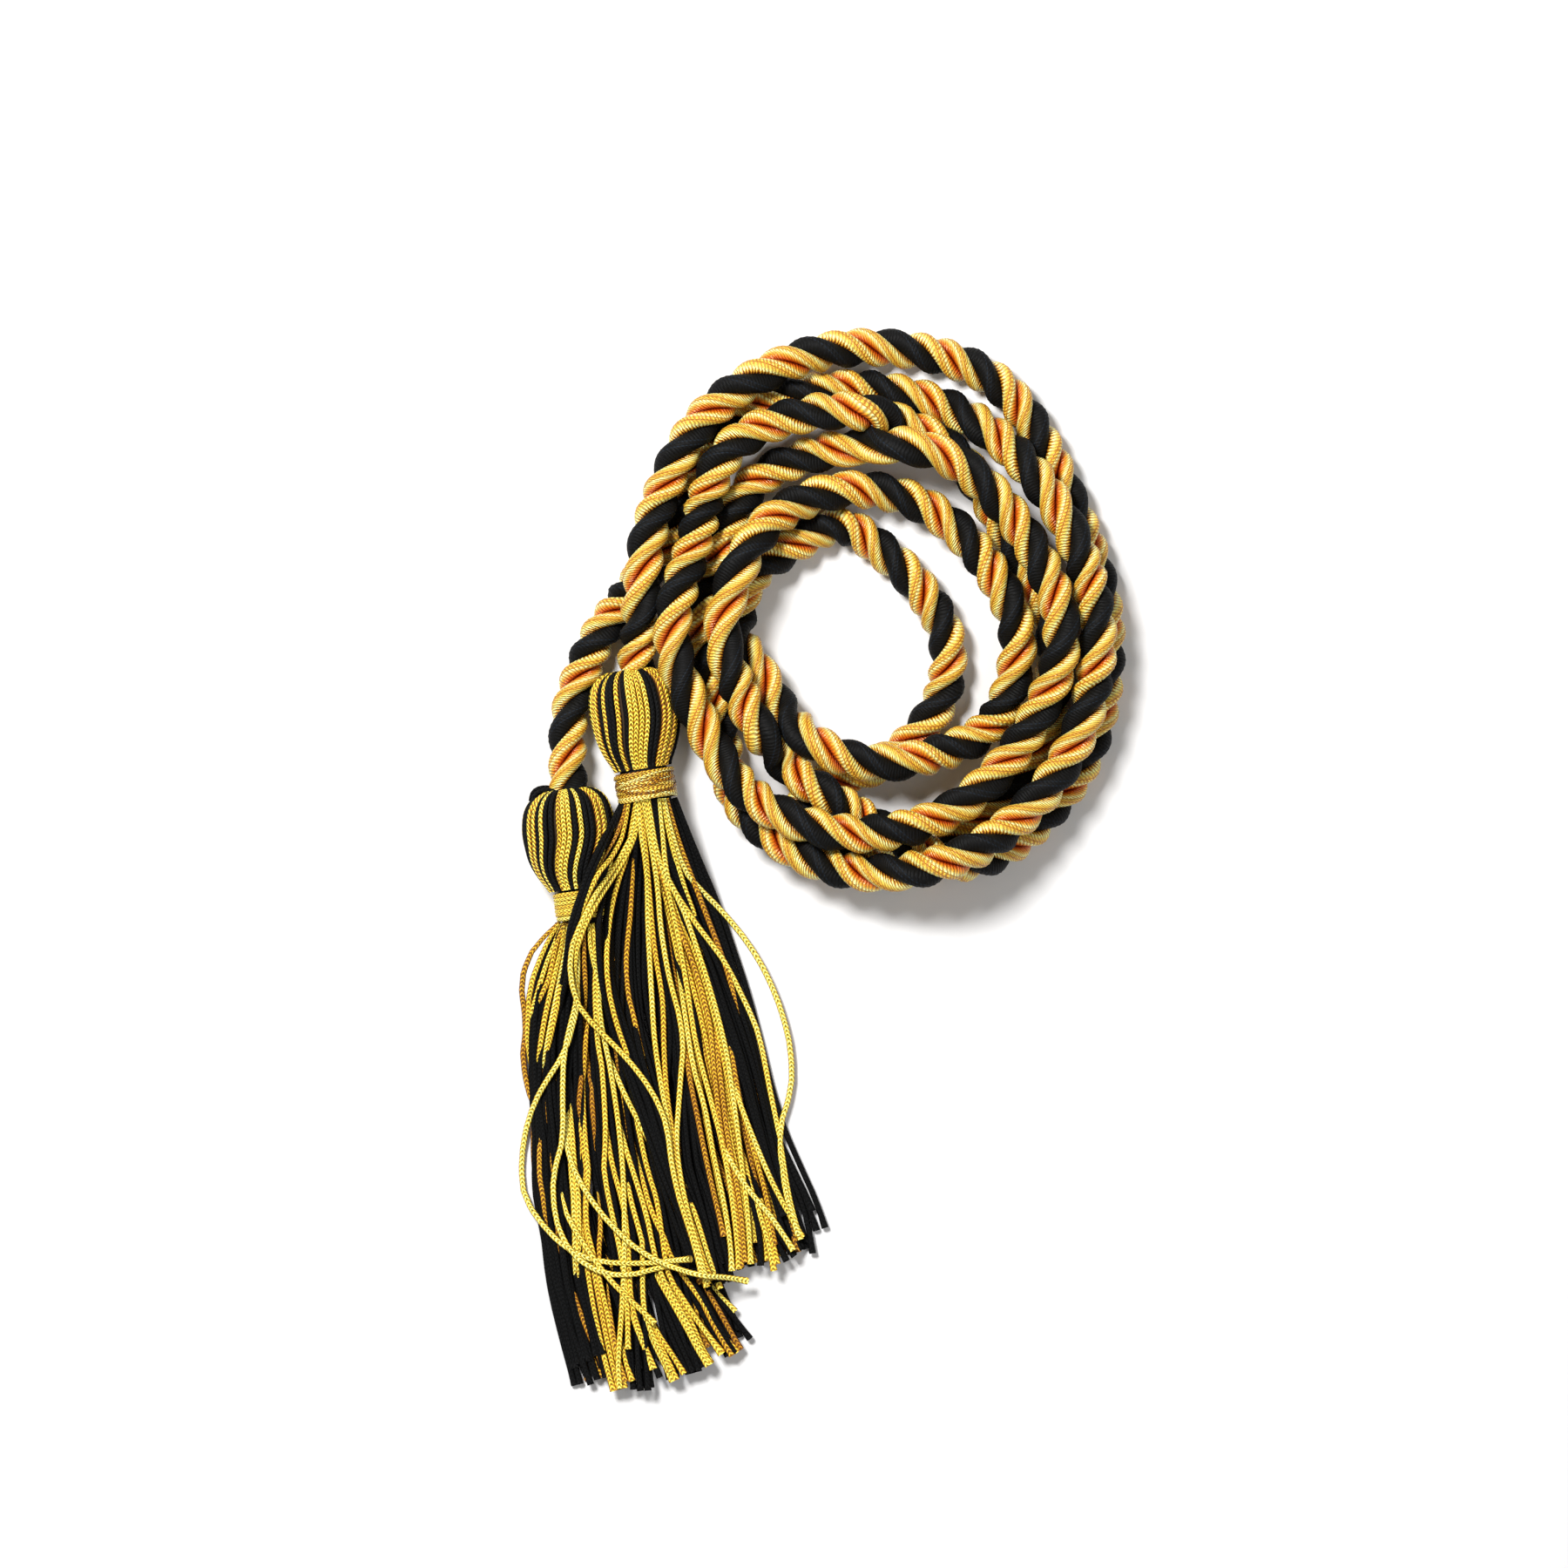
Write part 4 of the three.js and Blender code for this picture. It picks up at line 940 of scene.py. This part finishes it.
def yarn_material(name, tones, dark, roughness, specular, bump, contrast=PLAIN_CONTRAST):
    """A knitted chain of yarn: a row of V-shaped stitches along the strand, with a dark dot of painted shade
    in each.
    """
    material, tree, shader = new_material(name)
    uv, around, along = tube_places(tree)
    aside = math_node(tree, "ABSOLUTE", math_node(tree, "WRAP", around, 0.5, -0.5))
    slanted = math_node(tree, "SUBTRACT", along, math_node(tree, "MULTIPLY", aside, STITCH_SLANT))
    wander = noise(tree, uv, STITCH_STRETCH, detail=2)
    stitch = waves(tree, math_node(tree, "MULTIPLY_ADD", wander, STITCH_WANDER, slanted), STITCH_PITCH)
    between = math_node(tree, "SUBTRACT", 1.0, stitch)
    hole = math_node(tree, "MULTIPLY", smooth_range(tree, aside, *HOLE_EDGES, 1.0, 0.0), between)
    hole = math_node(tree, "POWER", hole, HOLE_SHARPNESS)
    low = smooth_range(tree, aside, *LOW_EDGES, 0.0, 1.0)
    tone = math_node(tree, "FLOOR", math_node(tree, "DIVIDE", along, TONE_STEP))
    drift = math_node(tree, "SUBTRACT", noise(tree, uv, DRIFT_STRETCH, detail=2), 0.5)
    tone = math_node(tree, "MULTIPLY_ADD", drift, TONE_DRIFT, tone)
    # The lower side's tone drops: painted shade
    tone = math_node(tree, "MULTIPLY_ADD", low, LOW_SHADE_TONE, tone)
    raised = math_node(tree, "SUBTRACT", stitch, STITCH_MIDDLE)
    tone = math_node(tree, "MULTIPLY_ADD", raised, STITCH_TONE, tone)
    colour = ramp_node(tree, math_node(tree, "DIVIDE", tone, TONE_RANGE), tones)
    # Painted light and shade: the stitches lighter and darker by their relief, the lower side and its notches
    # darker
    shade = math_node(tree, "MULTIPLY_ADD", stitch, contrast, BRIGHTNESS - contrast / 2)
    shade = math_node(tree, "MULTIPLY", shade, math_node(tree, "MULTIPLY_ADD", low, *LOW_SHADE))
    notch = math_node(tree, "MULTIPLY", low, between)
    shade = math_node(tree, "MULTIPLY", shade, math_node(tree, "MULTIPLY_ADD", notch, NOTCH_SHADE, 1.0))
    body = shaded_colour(tree, colour, shade, YARN_DEPTH)
    # The holes take the dark colour: painted shade in them
    patch = math_node(tree, "MULTIPLY", hole, math_node(tree, "MULTIPLY_ADD", wander, *HOLE_RANGE))
    mixed = node(tree, "ShaderNodeMix", {0: patch, 6: body, 7: (*dark, 1)}, data_type="RGBA").outputs[2]
    height = math_node(tree, "SUBTRACT", stitch, math_node(tree, "MULTIPLY", hole, HOLE_DEPTH))
    set_surface(tree, shader, mixed, height, STITCH_RELIEF, bump, roughness, specular)
    return material


def build_rope(line):
    """The three plies of the rope, swept round its middle line."""
    up, side = frames(line)
    twist = twist_angles(line)
    length = distances(line) / MM * PLY_STRETCH
    offsets = np.radians(PLY_ANGLES)
    tubes = Tubes()
    for number, (colour, radius, place, degrees, way_round) in enumerate(PLIES):
        turn = twist + math.radians(degrees)
        centre = line + place * (np.cos(turn)[:, None] * up + np.sin(turn)[:, None] * side)
        rings = swept_rings(centre, up, side, turn[:, None] + offsets, radius)
        around = 0.5 + way_round * (offsets / (2 * math.pi))
        tubes.add(rings, around, length + number * PLY_SHIFT, 0 if colour == "black" else 1)
    return tubes.build("rope", [black_ply, gold_ply])


def eased(share):
    """A smooth step from 0 to 1."""
    share = np.clip(share, 0, 1)
    return share * share * (3 - 2 * share)


def tassel_frame(x, y, tassel):
    """Where a point lies in a tassel: how far past its neck towards the tips, and how far to the side."""
    angle = math.radians(tassel["turn"])
    dx = x - tassel["neck"][0]
    dy = y - tassel["neck"][1]
    return dx * math.sin(angle) - dy * math.cos(angle), dx * math.cos(angle) + dy * math.sin(angle)


def left_tassel_top(x, y):
    """The height of the left tassel's upper side at each point, and 0 beside it."""
    down, across = tassel_frame(x, y, LEFT_TASSEL)
    across = across - np.interp(down, LEFT_AXIS_PLACES, LEFT_AXIS_ASIDE)
    radius = np.interp(down / MM, LEFT_BODY_PLACES, LEFT_BODY_RADII) * MM
    chord = np.sqrt(np.maximum(radius ** 2 - across ** 2, 0))
    round_top = HEAD_HALF_HEIGHT + chord * HEAD_HALF_HEIGHT / HEAD_RADIUS
    fall = eased(down / FALL_LENGTH)
    top = round_top * (1 - fall) + LEFT_PILE_TOP * fall
    inside = eased((radius - np.abs(across)) / EDGE_FALL + 0.5)
    return top * inside * eased((LEFT_LENGTH - down) / END_FALL)


def share_across(x, y, outline):
    """How far across a skirt a point lies, from 0 at its left edge to 1 at its right edge."""
    edges = [np.array([photo_point(pixel)[:2] for pixel in outline[name]]) for name in ("left", "right")]
    left, right = (np.interp(-y, -edge[:, 1], edge[:, 0]) for edge in edges)
    return (x - left) / (right - left)


def right_skirt_top(x, y):
    """The height of the right skirt's upper side at each point, and 0 beside it."""
    down = tassel_frame(x, y, RIGHT_TASSEL)[0]
    share = share_across(x, y, RIGHT_OUTLINE)
    inside = eased(np.minimum(share, 1 - share) / TOP_EDGE_WIDTH + TOP_EDGE_START)
    inside = inside * eased((RIGHT_LENGTH - down) / END_FALL)
    top = left_tassel_top(x, y) + STRAND_RADIUS + PILE_DEPTH * RIGHT_TOP_LEVEL
    return top * inside * eased(down / FALL_LENGTH)


def strand_line(points, tassel, levels, loose=False):
    """A strand's middle line: its plan as given, its height from its place in the bundle and the pile."""
    plan = resample(np.array([(x, y, 0) for x, y in points]), STRAND_STEP)
    x, y = plan[:, 0], plan[:, 1]
    level = np.interp(np.linspace(0, 1, len(plan)), np.linspace(0, 1, len(levels)), levels)
    down, across = tassel_frame(x, y, tassel)
    radius = BUNDLE_RADIUS * tassel["scale"]
    chord = np.sqrt(np.maximum(radius ** 2 - across ** 2, (FLATTEST * radius) ** 2))
    at_neck = HEAD_HALF_HEIGHT + chord * np.where(level < 1, 2 * level - 1, 1 + NECK_LIFT * (level - 1))
    share = share_across(x, y, tassel["outline"])
    depth = PILE_DEPTH * eased(np.minimum(share, 1 - share) / PILE_EDGE_WIDTH + PILE_EDGE_START)
    base = left_tassel_top(x, y) if tassel["on_left"] else np.zeros_like(x)
    in_pile = base + STRAND_RADIUS + level * depth
    fall = eased(down / FALL_LENGTH)
    height = at_neck * (1 - fall) + in_pile * fall
    lowest = base + STRAND_RADIUS + (level - COVER_LEVEL) * COVER_LIFT if tassel["on_left"] else height * 0
    if loose:
        lowest = right_skirt_top(x, y) + STRAND_RADIUS + (level - LOOSE_LEVEL) * LOOSE_LIFT
    for _ in range(SMOOTHING_PASSES):
        height = np.maximum(height, lowest)
        height[1:-1] = (height[:-2] + 2 * height[1:-1] + height[2:]) / 4
    plan[:, 2] = np.maximum(height, STRAND_RADIUS)
    return plan


def add_strand(tubes, points, kind, start, hidden_start=False, hidden_end=False):
    """Adds one strand of yarn along a line of points. It thins out where it begins or ends in the pile."""
    up, side = frames(points)
    gone = distances(points)
    if hidden_start:
        size = STRAND_RADIUS * (THIN_START + (1 - THIN_START) * eased(gone / TAPER_LENGTH))
    else:
        size = STRAND_RADIUS * (NECK_SQUEEZE + (1 - NECK_SQUEEZE) * eased(gone / SQUEEZE_LENGTH))
    if hidden_end:
        size *= THIN_END + (1 - THIN_END) * eased((gone[-1] - gone) / TAPER_LENGTH)
    else:
        size[-2:] *= FRAYING
    angles = circle(STRAND_SIDES)
    rings = swept_rings(points, up, side, angles, size, STRAND_HEIGHT)
    tubes.add(rings, angles / (2 * math.pi), start + gone / MM, kind, capped=True)


def tone_start(tone, chance):
    """Where a strand's yarn pattern starts: its thousands say the tone, from 0, brown, to 9, lemon."""
    return TONE_STEP * tone + chance.uniform(*PATTERN_START)


def bundle_levels(level, hidden_start, hidden_end, chance):
    """The heights along a strand of a bundle: it comes up out of the pile, and goes back into it."""
    levels = np.full(LEVEL_COUNT, level) + chance.normal(0, LEVEL_WANDER, LEVEL_COUNT)
    if hidden_start:
        levels[:3] = np.array(EMERGING) * level
    if hidden_end:
        levels[-3:] = np.array(EMERGING[::-1]) * level
    return levels


def build_skirt(name, tassel, seed):
    """A tassel's loose strands: the bundles that show, over a filling of strands below them."""
    chance = np.random.default_rng(seed)
    tubes = Tubes()
    for yarn, level, pixels, *many in tassel["bundles"]:
        count, widths = many or (1, (0, 0, 0))
        tone = 0 if yarn == "black" else yarn
        middle_line = smooth_curve([photo_point(p) for p in pixels], PLAN_STEP)[:, :2]
        steps = unit(np.gradient(middle_line, axis=0))
        normal = np.stack([-steps[:, 1], steps[:, 0]], axis=1)
        share = np.linspace(0, 1, len(middle_line))
        width = np.interp(share, [0, 0.5, 1], widths) * PIXEL
        for number in range(count):
            place = 0 if count == 1 else (number + chance.uniform(*BUNDLE_JITTER)) / (count - 1) - 0.5
            spread = BUNDLE_WANDER[min(count, len(BUNDLE_WANDER)) - 1]
            wander = np.interp(share, WANDER_PLACES, np.append(0, chance.normal(0, spread, 4)))
            points = middle_line + (place * width + wander)[:, None] * normal
            cut = 1 if count == 1 else chance.uniform(SHORTEST, 1.0)
            points = points[: max(4, int(round(len(points) * cut)))]
            height = level + (0 if count == 1 else chance.uniform(*BUNDLE_HEIGHTS))
            down = tassel_frame(points[:, 0], points[:, 1], tassel)[0]
            hidden_start = down[0] > HIDDEN_BEFORE
            hidden_end = down[-1] < HIDDEN_PAST and level < LOOSE_LEVEL
            levels = bundle_levels(height, hidden_start, hidden_end, chance)
            loose = level >= LOOSE_LEVEL and not tassel["on_left"]
            strand = strand_line(points, tassel, levels, loose)
            shade = np.clip(tone + (0 if count == 1 else chance.integers(*TONE_JITTER)), 0, LAST_TONE)
            kind = 0 if yarn == "black" else 1
            add_strand(tubes, strand, kind, tone_start(shade, chance), hidden_start, hidden_end)
    return tubes.build(name, [black_yarn, yellow_yarn])


def filling(name, tassel, seed):
    """Strands that fill the pile below the ones that show, between the two edges of the skirt."""
    chance = np.random.default_rng(seed)
    tubes = Tubes()
    left_edge, right_edge = (
        np.array([photo_point(p)[:2] for p in tassel["outline"][edge]]) for edge in ("left", "right")
    )
    for level, count in FILLING_ROWS:
        for number in range(count):
            place = (number + 0.5 + chance.uniform(*FILLING_JITTER)) / count
            drift = chance.normal(0, FILLING_WANDER, len(left_edge))
            drift[0] = 0
            share = np.clip(place + drift, *FILLING_EDGES)[:, None]
            points = left_edge * (1 - share) + right_edge * share
            points[-1] = points[-2] + (points[-1] - points[-2]) * chance.uniform(*FILLING_ENDS)
            curve = smooth_curve([(x, y, 0) for x, y in points], PLAN_STEP)[:, :2]
            levels = level + chance.uniform(*FILLING_LEVELS)
            strand = strand_line(curve, tassel, levels)
            kind = 1 if chance.random() < FILLING_YELLOW else 0
            add_strand(tubes, strand, kind, tone_start(chance.integers(*FILLING_TONES), chance))
    return tubes.build(name, [black_yarn, yellow_yarn])


def tassel_point(tassel, along, across, height):
    """A point given in a tassel's own frame: along towards the rope from the neck, across, height."""
    angle = math.radians(tassel["turn"])
    x = tassel["neck"][0] + across * math.cos(angle) - along * math.sin(angle)
    y = tassel["neck"][1] + across * math.sin(angle) + along * math.cos(angle)
    return np.stack([x, y, height + np.zeros_like(x)], axis=-1)


def outward_ways(tassel, angles):
    """The ways out from a tassel's axis, at some angles from straight up."""
    turn = math.radians(tassel["turn"])
    across = np.sin(angles)
    return np.stack([across * math.cos(turn), across * math.sin(turn), np.cos(angles)], axis=-1)


def add_core(tubes, tassel, stations, flat, kind):
    """A round core on a tassel's axis: at each station its length so far, place, radius and shift aside."""
    sides = circle(CORE_SIDES)
    rings = []
    for _, along, radius, aside in stations:
        height = HEAD_HALF_HEIGHT + np.cos(sides) * radius * flat
        rings.append(tassel_point(tassel, np.full(CORE_SIDES, along), np.sin(sides) * radius + aside, height))
    lengths = np.array([station[0] for station in stations])
    tubes.add(np.array(rings), sides / (2 * math.pi), lengths, kind, capped=True)


def add_round_strand(tubes, points, outward, thickness, kind, start):
    """A strand that lies on a rounded body, with its face turned outward."""
    up, side = frames(points, outward)
    angles = circle(STRAND_SIDES)
    rings = swept_rings(points, up, side, angles, thickness, HEAD_STRAND_HEIGHT)
    tubes.add(rings, angles / (2 * math.pi), start + distances(points) / MM, kind, capped=True)


def build_head(name, tassel, seed):
    """The bulb of yarn over a tassel's neck."""
    chance = np.random.default_rng(seed)
    tubes = Tubes()
    look = tassel["head"]
    crown, side = look["tones"]
    flat = HEAD_HALF_HEIGHT / HEAD_RADIUS
    share, size = np.array(HEAD_PROFILE).T
    outline = np.stack([share * HEAD_LENGTH, size * HEAD_RADIUS, share * 0], axis=1)
    gone, radii = smooth_curve(outline, PROFILE_STEP)[:, :2].T
    top = NECK_LENGTH / 2 + HEAD_LENGTH + CLEARANCE
    aside = look["bulge"] * np.sin(math.pi * gone / HEAD_LENGTH)
    leaning = math.radians(look["lean"]) * eased((gone / HEAD_LENGTH - LEAN_START) / (1 - LEAN_START))
    thickness = STRAND_RADIUS * (THINNEST + THICKENING * radii / HEAD_RADIUS)
    for number in range(HEAD_STRANDS):
        degrees = -180 + 360 * (number + 0.5) / HEAD_STRANDS
        angle = math.radians(degrees) + chance.normal(0, ANGLE_WANDER) + leaning
        radius = (radii - STRAND_RADIUS) * (look["girth"] + chance.normal(0, GIRTH_WANDER))
        height = HEAD_HALF_HEIGHT + np.cos(angle) * radius * flat
        points = tassel_point(tassel, top - gone, np.sin(angle) * radius + aside, height)
        black = sum(degrees >= change for change in look["changes"]) % 2
        # The tone goes from the crown's to the sides' by the angle round the head: painted light and shade
        tone = crown + (side - crown) * abs(math.sin(math.radians(degrees))) + chance.uniform(*TONE_JITTER)
        start = tone_start(round(np.clip(tone, 0, LAST_TONE)), chance)
        add_round_strand(tubes, points, outward_ways(tassel, angle), thickness, 1 - black, start)
    for height, pixels in look["loops"]:
        loop = smooth_curve([photo_point(pixel, HEAD_HALF_HEIGHT + height) for pixel in pixels], LOOP_STEP)
        add_strand(tubes, loop, 0, tone_start(0, chance))
    stations = list(zip(gone / MM, top - gone, radii - CORE_DEPTH, aside))
    add_core(tubes, tassel, stations, flat, 2)
    return tubes.build(name, [black_yarn, head_yarn, dark_core])


def build_winding(name, tassel, seed):
    """The thread wound round a tassel's neck, in layers that cross, over a waist of black yarn that is
    painted shade in the slits beside it.
    """
    chance = np.random.default_rng(seed)
    tubes = Tubes()
    look = tassel["winding"]
    angle = np.linspace(0, 2 * math.pi, WINDING_STEPS)
    corners = circle(THREAD_SIDES)
    outward = outward_ways(tassel, angle)
    for tilt, depth, turns, thread in look["layers"]:
        for number in range(turns):
            place = ((number + 0.5) / turns - 0.5) * (NECK_LENGTH - WINDING_MARGIN)
            lean = tilt * chance.uniform(-1, 1)
            along = place + lean * np.sin(angle + chance.uniform(*LEAN_PHASES))
            along = np.clip(along, -NECK_LENGTH / 2 + thread, NECK_LENGTH / 2 - thread)
            reach = (NECK_RADIUS - depth) * look["scale"] * (1 + chance.normal(0, REACH_WANDER))
            height = HEAD_HALF_HEIGHT + np.cos(angle) * reach
            points = tassel_point(tassel, along, np.sin(angle) * reach + look["aside"], height)
            side = np.cross(unit(np.gradient(points, axis=0)), outward)
            rings = swept_rings(points, outward, side, corners, thread, *THREAD_SHAPE)
            start = tone_start(chance.integers(*look["tones"]), chance)
            tubes.add(rings, corners / (2 * math.pi), start + distances(points) / MM, 0)
    depth, thread = look["layers"][0][1], look["layers"][0][3]
    # A waist of black yarn: painted shade in the slits above and below the winding
    shade_waist = (NECK_RADIUS - depth - thread) * look["scale"]
    reach = NECK_LENGTH / 2 + SHADE_WAIST_REACH
    ends = shade_waist * SHADE_WAIST_ENDS
    rows = ((1, reach, ends), (2, reach / 2, shade_waist), (3, -reach / 2, shade_waist), (4, -reach, ends))
    add_core(tubes, tassel, [(*row, look["aside"]) for row in rows], 1, 1)
    return tubes.build(name, [look["material"], black_yarn])


# Materials
MATT = 0.9
CORE_SHADE_COLOUR = (0.03, 0.015, 0.004, 1)
GOLD_TINT = (1, 0.9, 0.6, 1)
# Gold across a ply, from its edge by the black ply to the groove between the golds: painted shade at that
# edge, two painted highlight ridges near the crown, and painted shade, darker and redder, into the groove
GOLD_AND_PAINTED_LIGHT_STOPS = [
    (0.165, (0.05, 0.012, 0.001)),
    (0.21, (0.36, 0.11, 0.006)),
    (0.255, (0.88, 0.48, 0.04)),
    (0.305, (1.0, 1.0, 0.42)),
    (0.37, (0.97, 0.72, 0.11)),
    (0.47, (0.83, 0.39, 0.026)),
    (0.565, (0.94, 0.60, 0.065)),
    (0.635, (1.0, 1.0, 0.42)),
    (0.69, (0.90, 0.48, 0.04)),
    (0.745, (0.78, 0.24, 0.011)),
    (0.795, (0.62, 0.08, 0.004)),
    (0.835, (0.17, 0.011, 0.001)),
]
# Black across a ply: a little lighter over the crown than at the sides, painted highlight and shade
BLACK_AND_PAINTED_LIGHT_STOPS = [(0.2, (0.003, 0.003, 0.003)), (0.5, (0.006, 0.006, 0.006)), (0.8, (0.003, 0.003, 0.003))]
gold_ply = ply_material(
    "gold_ply", GOLD_AND_PAINTED_LIGHT_STOPS, roughness=0.3, specular=0.9, rib_shade=0.85, seam_shade=-0.75, bump=0.7
)
gold_ply.node_tree.nodes["Principled BSDF"].inputs["Specular Tint"].default_value = GOLD_TINT
# Its seam_shade is above 0: the black ply's seams are painted lighter, a painted highlight along them
black_ply = ply_material(
    "black_ply", BLACK_AND_PAINTED_LIGHT_STOPS, roughness=0.6, specular=0.12, rib_shade=0.3, seam_shade=1.2, bump=0.4
)
YELLOW_TONES = [
    (0.0, (0.30, 0.11, 0.007)),
    (0.22, (0.56, 0.25, 0.016)),
    (0.45, (0.83, 0.48, 0.03)),
    (0.68, (0.95, 0.70, 0.065)),
    (0.85, (0.98, 0.84, 0.13)),
    (1.0, (1.0, 0.94, 0.26)),
]
BLACK_TONES = [(0.0, (0.0035, 0.0035, 0.0035)), (1.0, (0.007, 0.007, 0.007))]
WINDING_TONES = [
    (0.0, (0.15, 0.045, 0.002)),
    (0.3, (0.60, 0.26, 0.015)),
    (0.62, (0.95, 0.64, 0.07)),
    (1.0, (1.0, 1.0, 0.42)),
]
yellow_yarn = yarn_material(
    "yellow_yarn", YELLOW_TONES, dark=(0.10, 0.04, 0.004), roughness=0.5, specular=0.35, bump=0.8
)
head_yarn = yarn_material(
    "head_yarn", YELLOW_TONES, dark=(0.12, 0.04, 0.003), roughness=0.45, specular=0.4, bump=1.0,
    contrast=0.85,
)
black_yarn = yarn_material(
    "black_yarn", BLACK_TONES, dark=(0.001, 0.001, 0.001), roughness=0.7, specular=0.1, bump=0.5
)
winding_thread = yarn_material(
    "winding_thread", WINDING_TONES, dark=(0.16, 0.06, 0.006), roughness=0.32, specular=0.5, bump=0.8,
    contrast=0.7,
)
dark_core, _, core_shader = new_material("dark_core")
core_shader.inputs["Base Color"].default_value = CORE_SHADE_COLOUR
core_shader.inputs["Roughness"].default_value = MATT

# The tassels. The last value says whether a tassel lies on the left one.
LEFT_TASSEL = {
    "side": "left", "neck": LEFT_NECK, "turn": LEFT_TURN, "scale": LEFT_SCALE, "head": LEFT_HEAD,
    "winding": {**LEFT_WINDING, "material": yellow_yarn}, "bundles": LEFT_BUNDLES, "outline": LEFT_OUTLINE,
    "on_left": False,
}
RIGHT_TASSEL = {
    "side": "right", "neck": RIGHT_NECK, "turn": RIGHT_TURN, "scale": 1.0, "head": RIGHT_HEAD,
    "winding": {**RIGHT_WINDING, "material": winding_thread}, "bundles": RIGHT_BUNDLES,
    "outline": RIGHT_OUTLINE, "on_left": True,
}
# Where the random values of each kind of piece start
HEAD_SEED = 11
WINDING_SEED = 5
SKIRT_SEED = 3
FILLING_SEED = 7

line = smooth_curve(lay_route(), FINE_STEP)
rope = build_rope(line)
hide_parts("rope_coil", "left_tail", "right_tail")
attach(rope, "root")

for tassel in (LEFT_TASSEL, RIGHT_TASSEL):
    side = tassel["side"]
    head = build_head(side + "_bulb", tassel, HEAD_SEED)
    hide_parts(side + "_head")
    winding = build_winding(side + "_winding", tassel, WINDING_SEED)
    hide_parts(side + "_neck_winding")
    fringe = build_skirt(side + "_fringe", tassel, SKIRT_SEED)
    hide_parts(side + "_skirt")
    under = filling(side + "_fringe_below", tassel, FILLING_SEED)
    for piece in (head, winding, fringe, under):
        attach(piece, "root")

# Camera: straight down, as in the photograph
LENS = 200
SENSOR = 36
frame_width = PHOTO_PIXELS * PIXEL
camera_data = bpy.data.cameras.new("camera")
camera_data.lens = LENS
camera_data.sensor_width = SENSOR
camera = bpy.data.objects.new("camera", camera_data)
bpy.context.scene.collection.objects.link(camera)
middle = photo_point((PHOTO_PIXELS / 2, PHOTO_PIXELS / 2))
camera.location = (middle[0] + SHIFT.x, middle[1] + SHIFT.y, FOCUS_HEIGHT + frame_width / SENSOR * LENS)
bpy.context.scene.camera = camera

# Floor and light
WORLD_LIGHT = 0.2
FLOOR_SIZE = 6
FLOOR_COLOUR = (0.8, 0.793, 0.79, 1)
bpy.ops.mesh.primitive_plane_add(size=FLOOR_SIZE)
floor = bpy.context.object
floor.name = "floor"
floor_material, _, floor_shader = new_material("floor")
floor_shader.inputs["Base Color"].default_value = FLOOR_COLOUR
floor_shader.inputs["Roughness"].default_value = MATT
floor.data.materials.append(floor_material)


def area_light(name, location, size, power):
    """A square light that faces the middle of the table."""
    data = bpy.data.lights.new(name, "AREA")
    data.size = size
    data.energy = power
    lamp = bpy.data.objects.new(name, data)
    lamp.location = location
    lamp.rotation_euler = (-Vector(location)).to_track_quat("-Z", "Y").to_euler()
    bpy.context.scene.collection.objects.link(lamp)


area_light("key", location=(-0.35, 0.4, 0.9), size=0.25, power=14.5)
area_light("fill", location=(0.6, -0.3, 1.1), size=0.9, power=4.5)
world = bpy.data.worlds.new("world")
world.use_nodes = True
world.node_tree.nodes["Background"].inputs["Color"].default_value = (1, 1, 1, 1)
world.node_tree.nodes["Background"].inputs["Strength"].default_value = WORLD_LIGHT
bpy.context.scene.world = world
bpy.context.scene.view_settings.view_transform = "Standard"
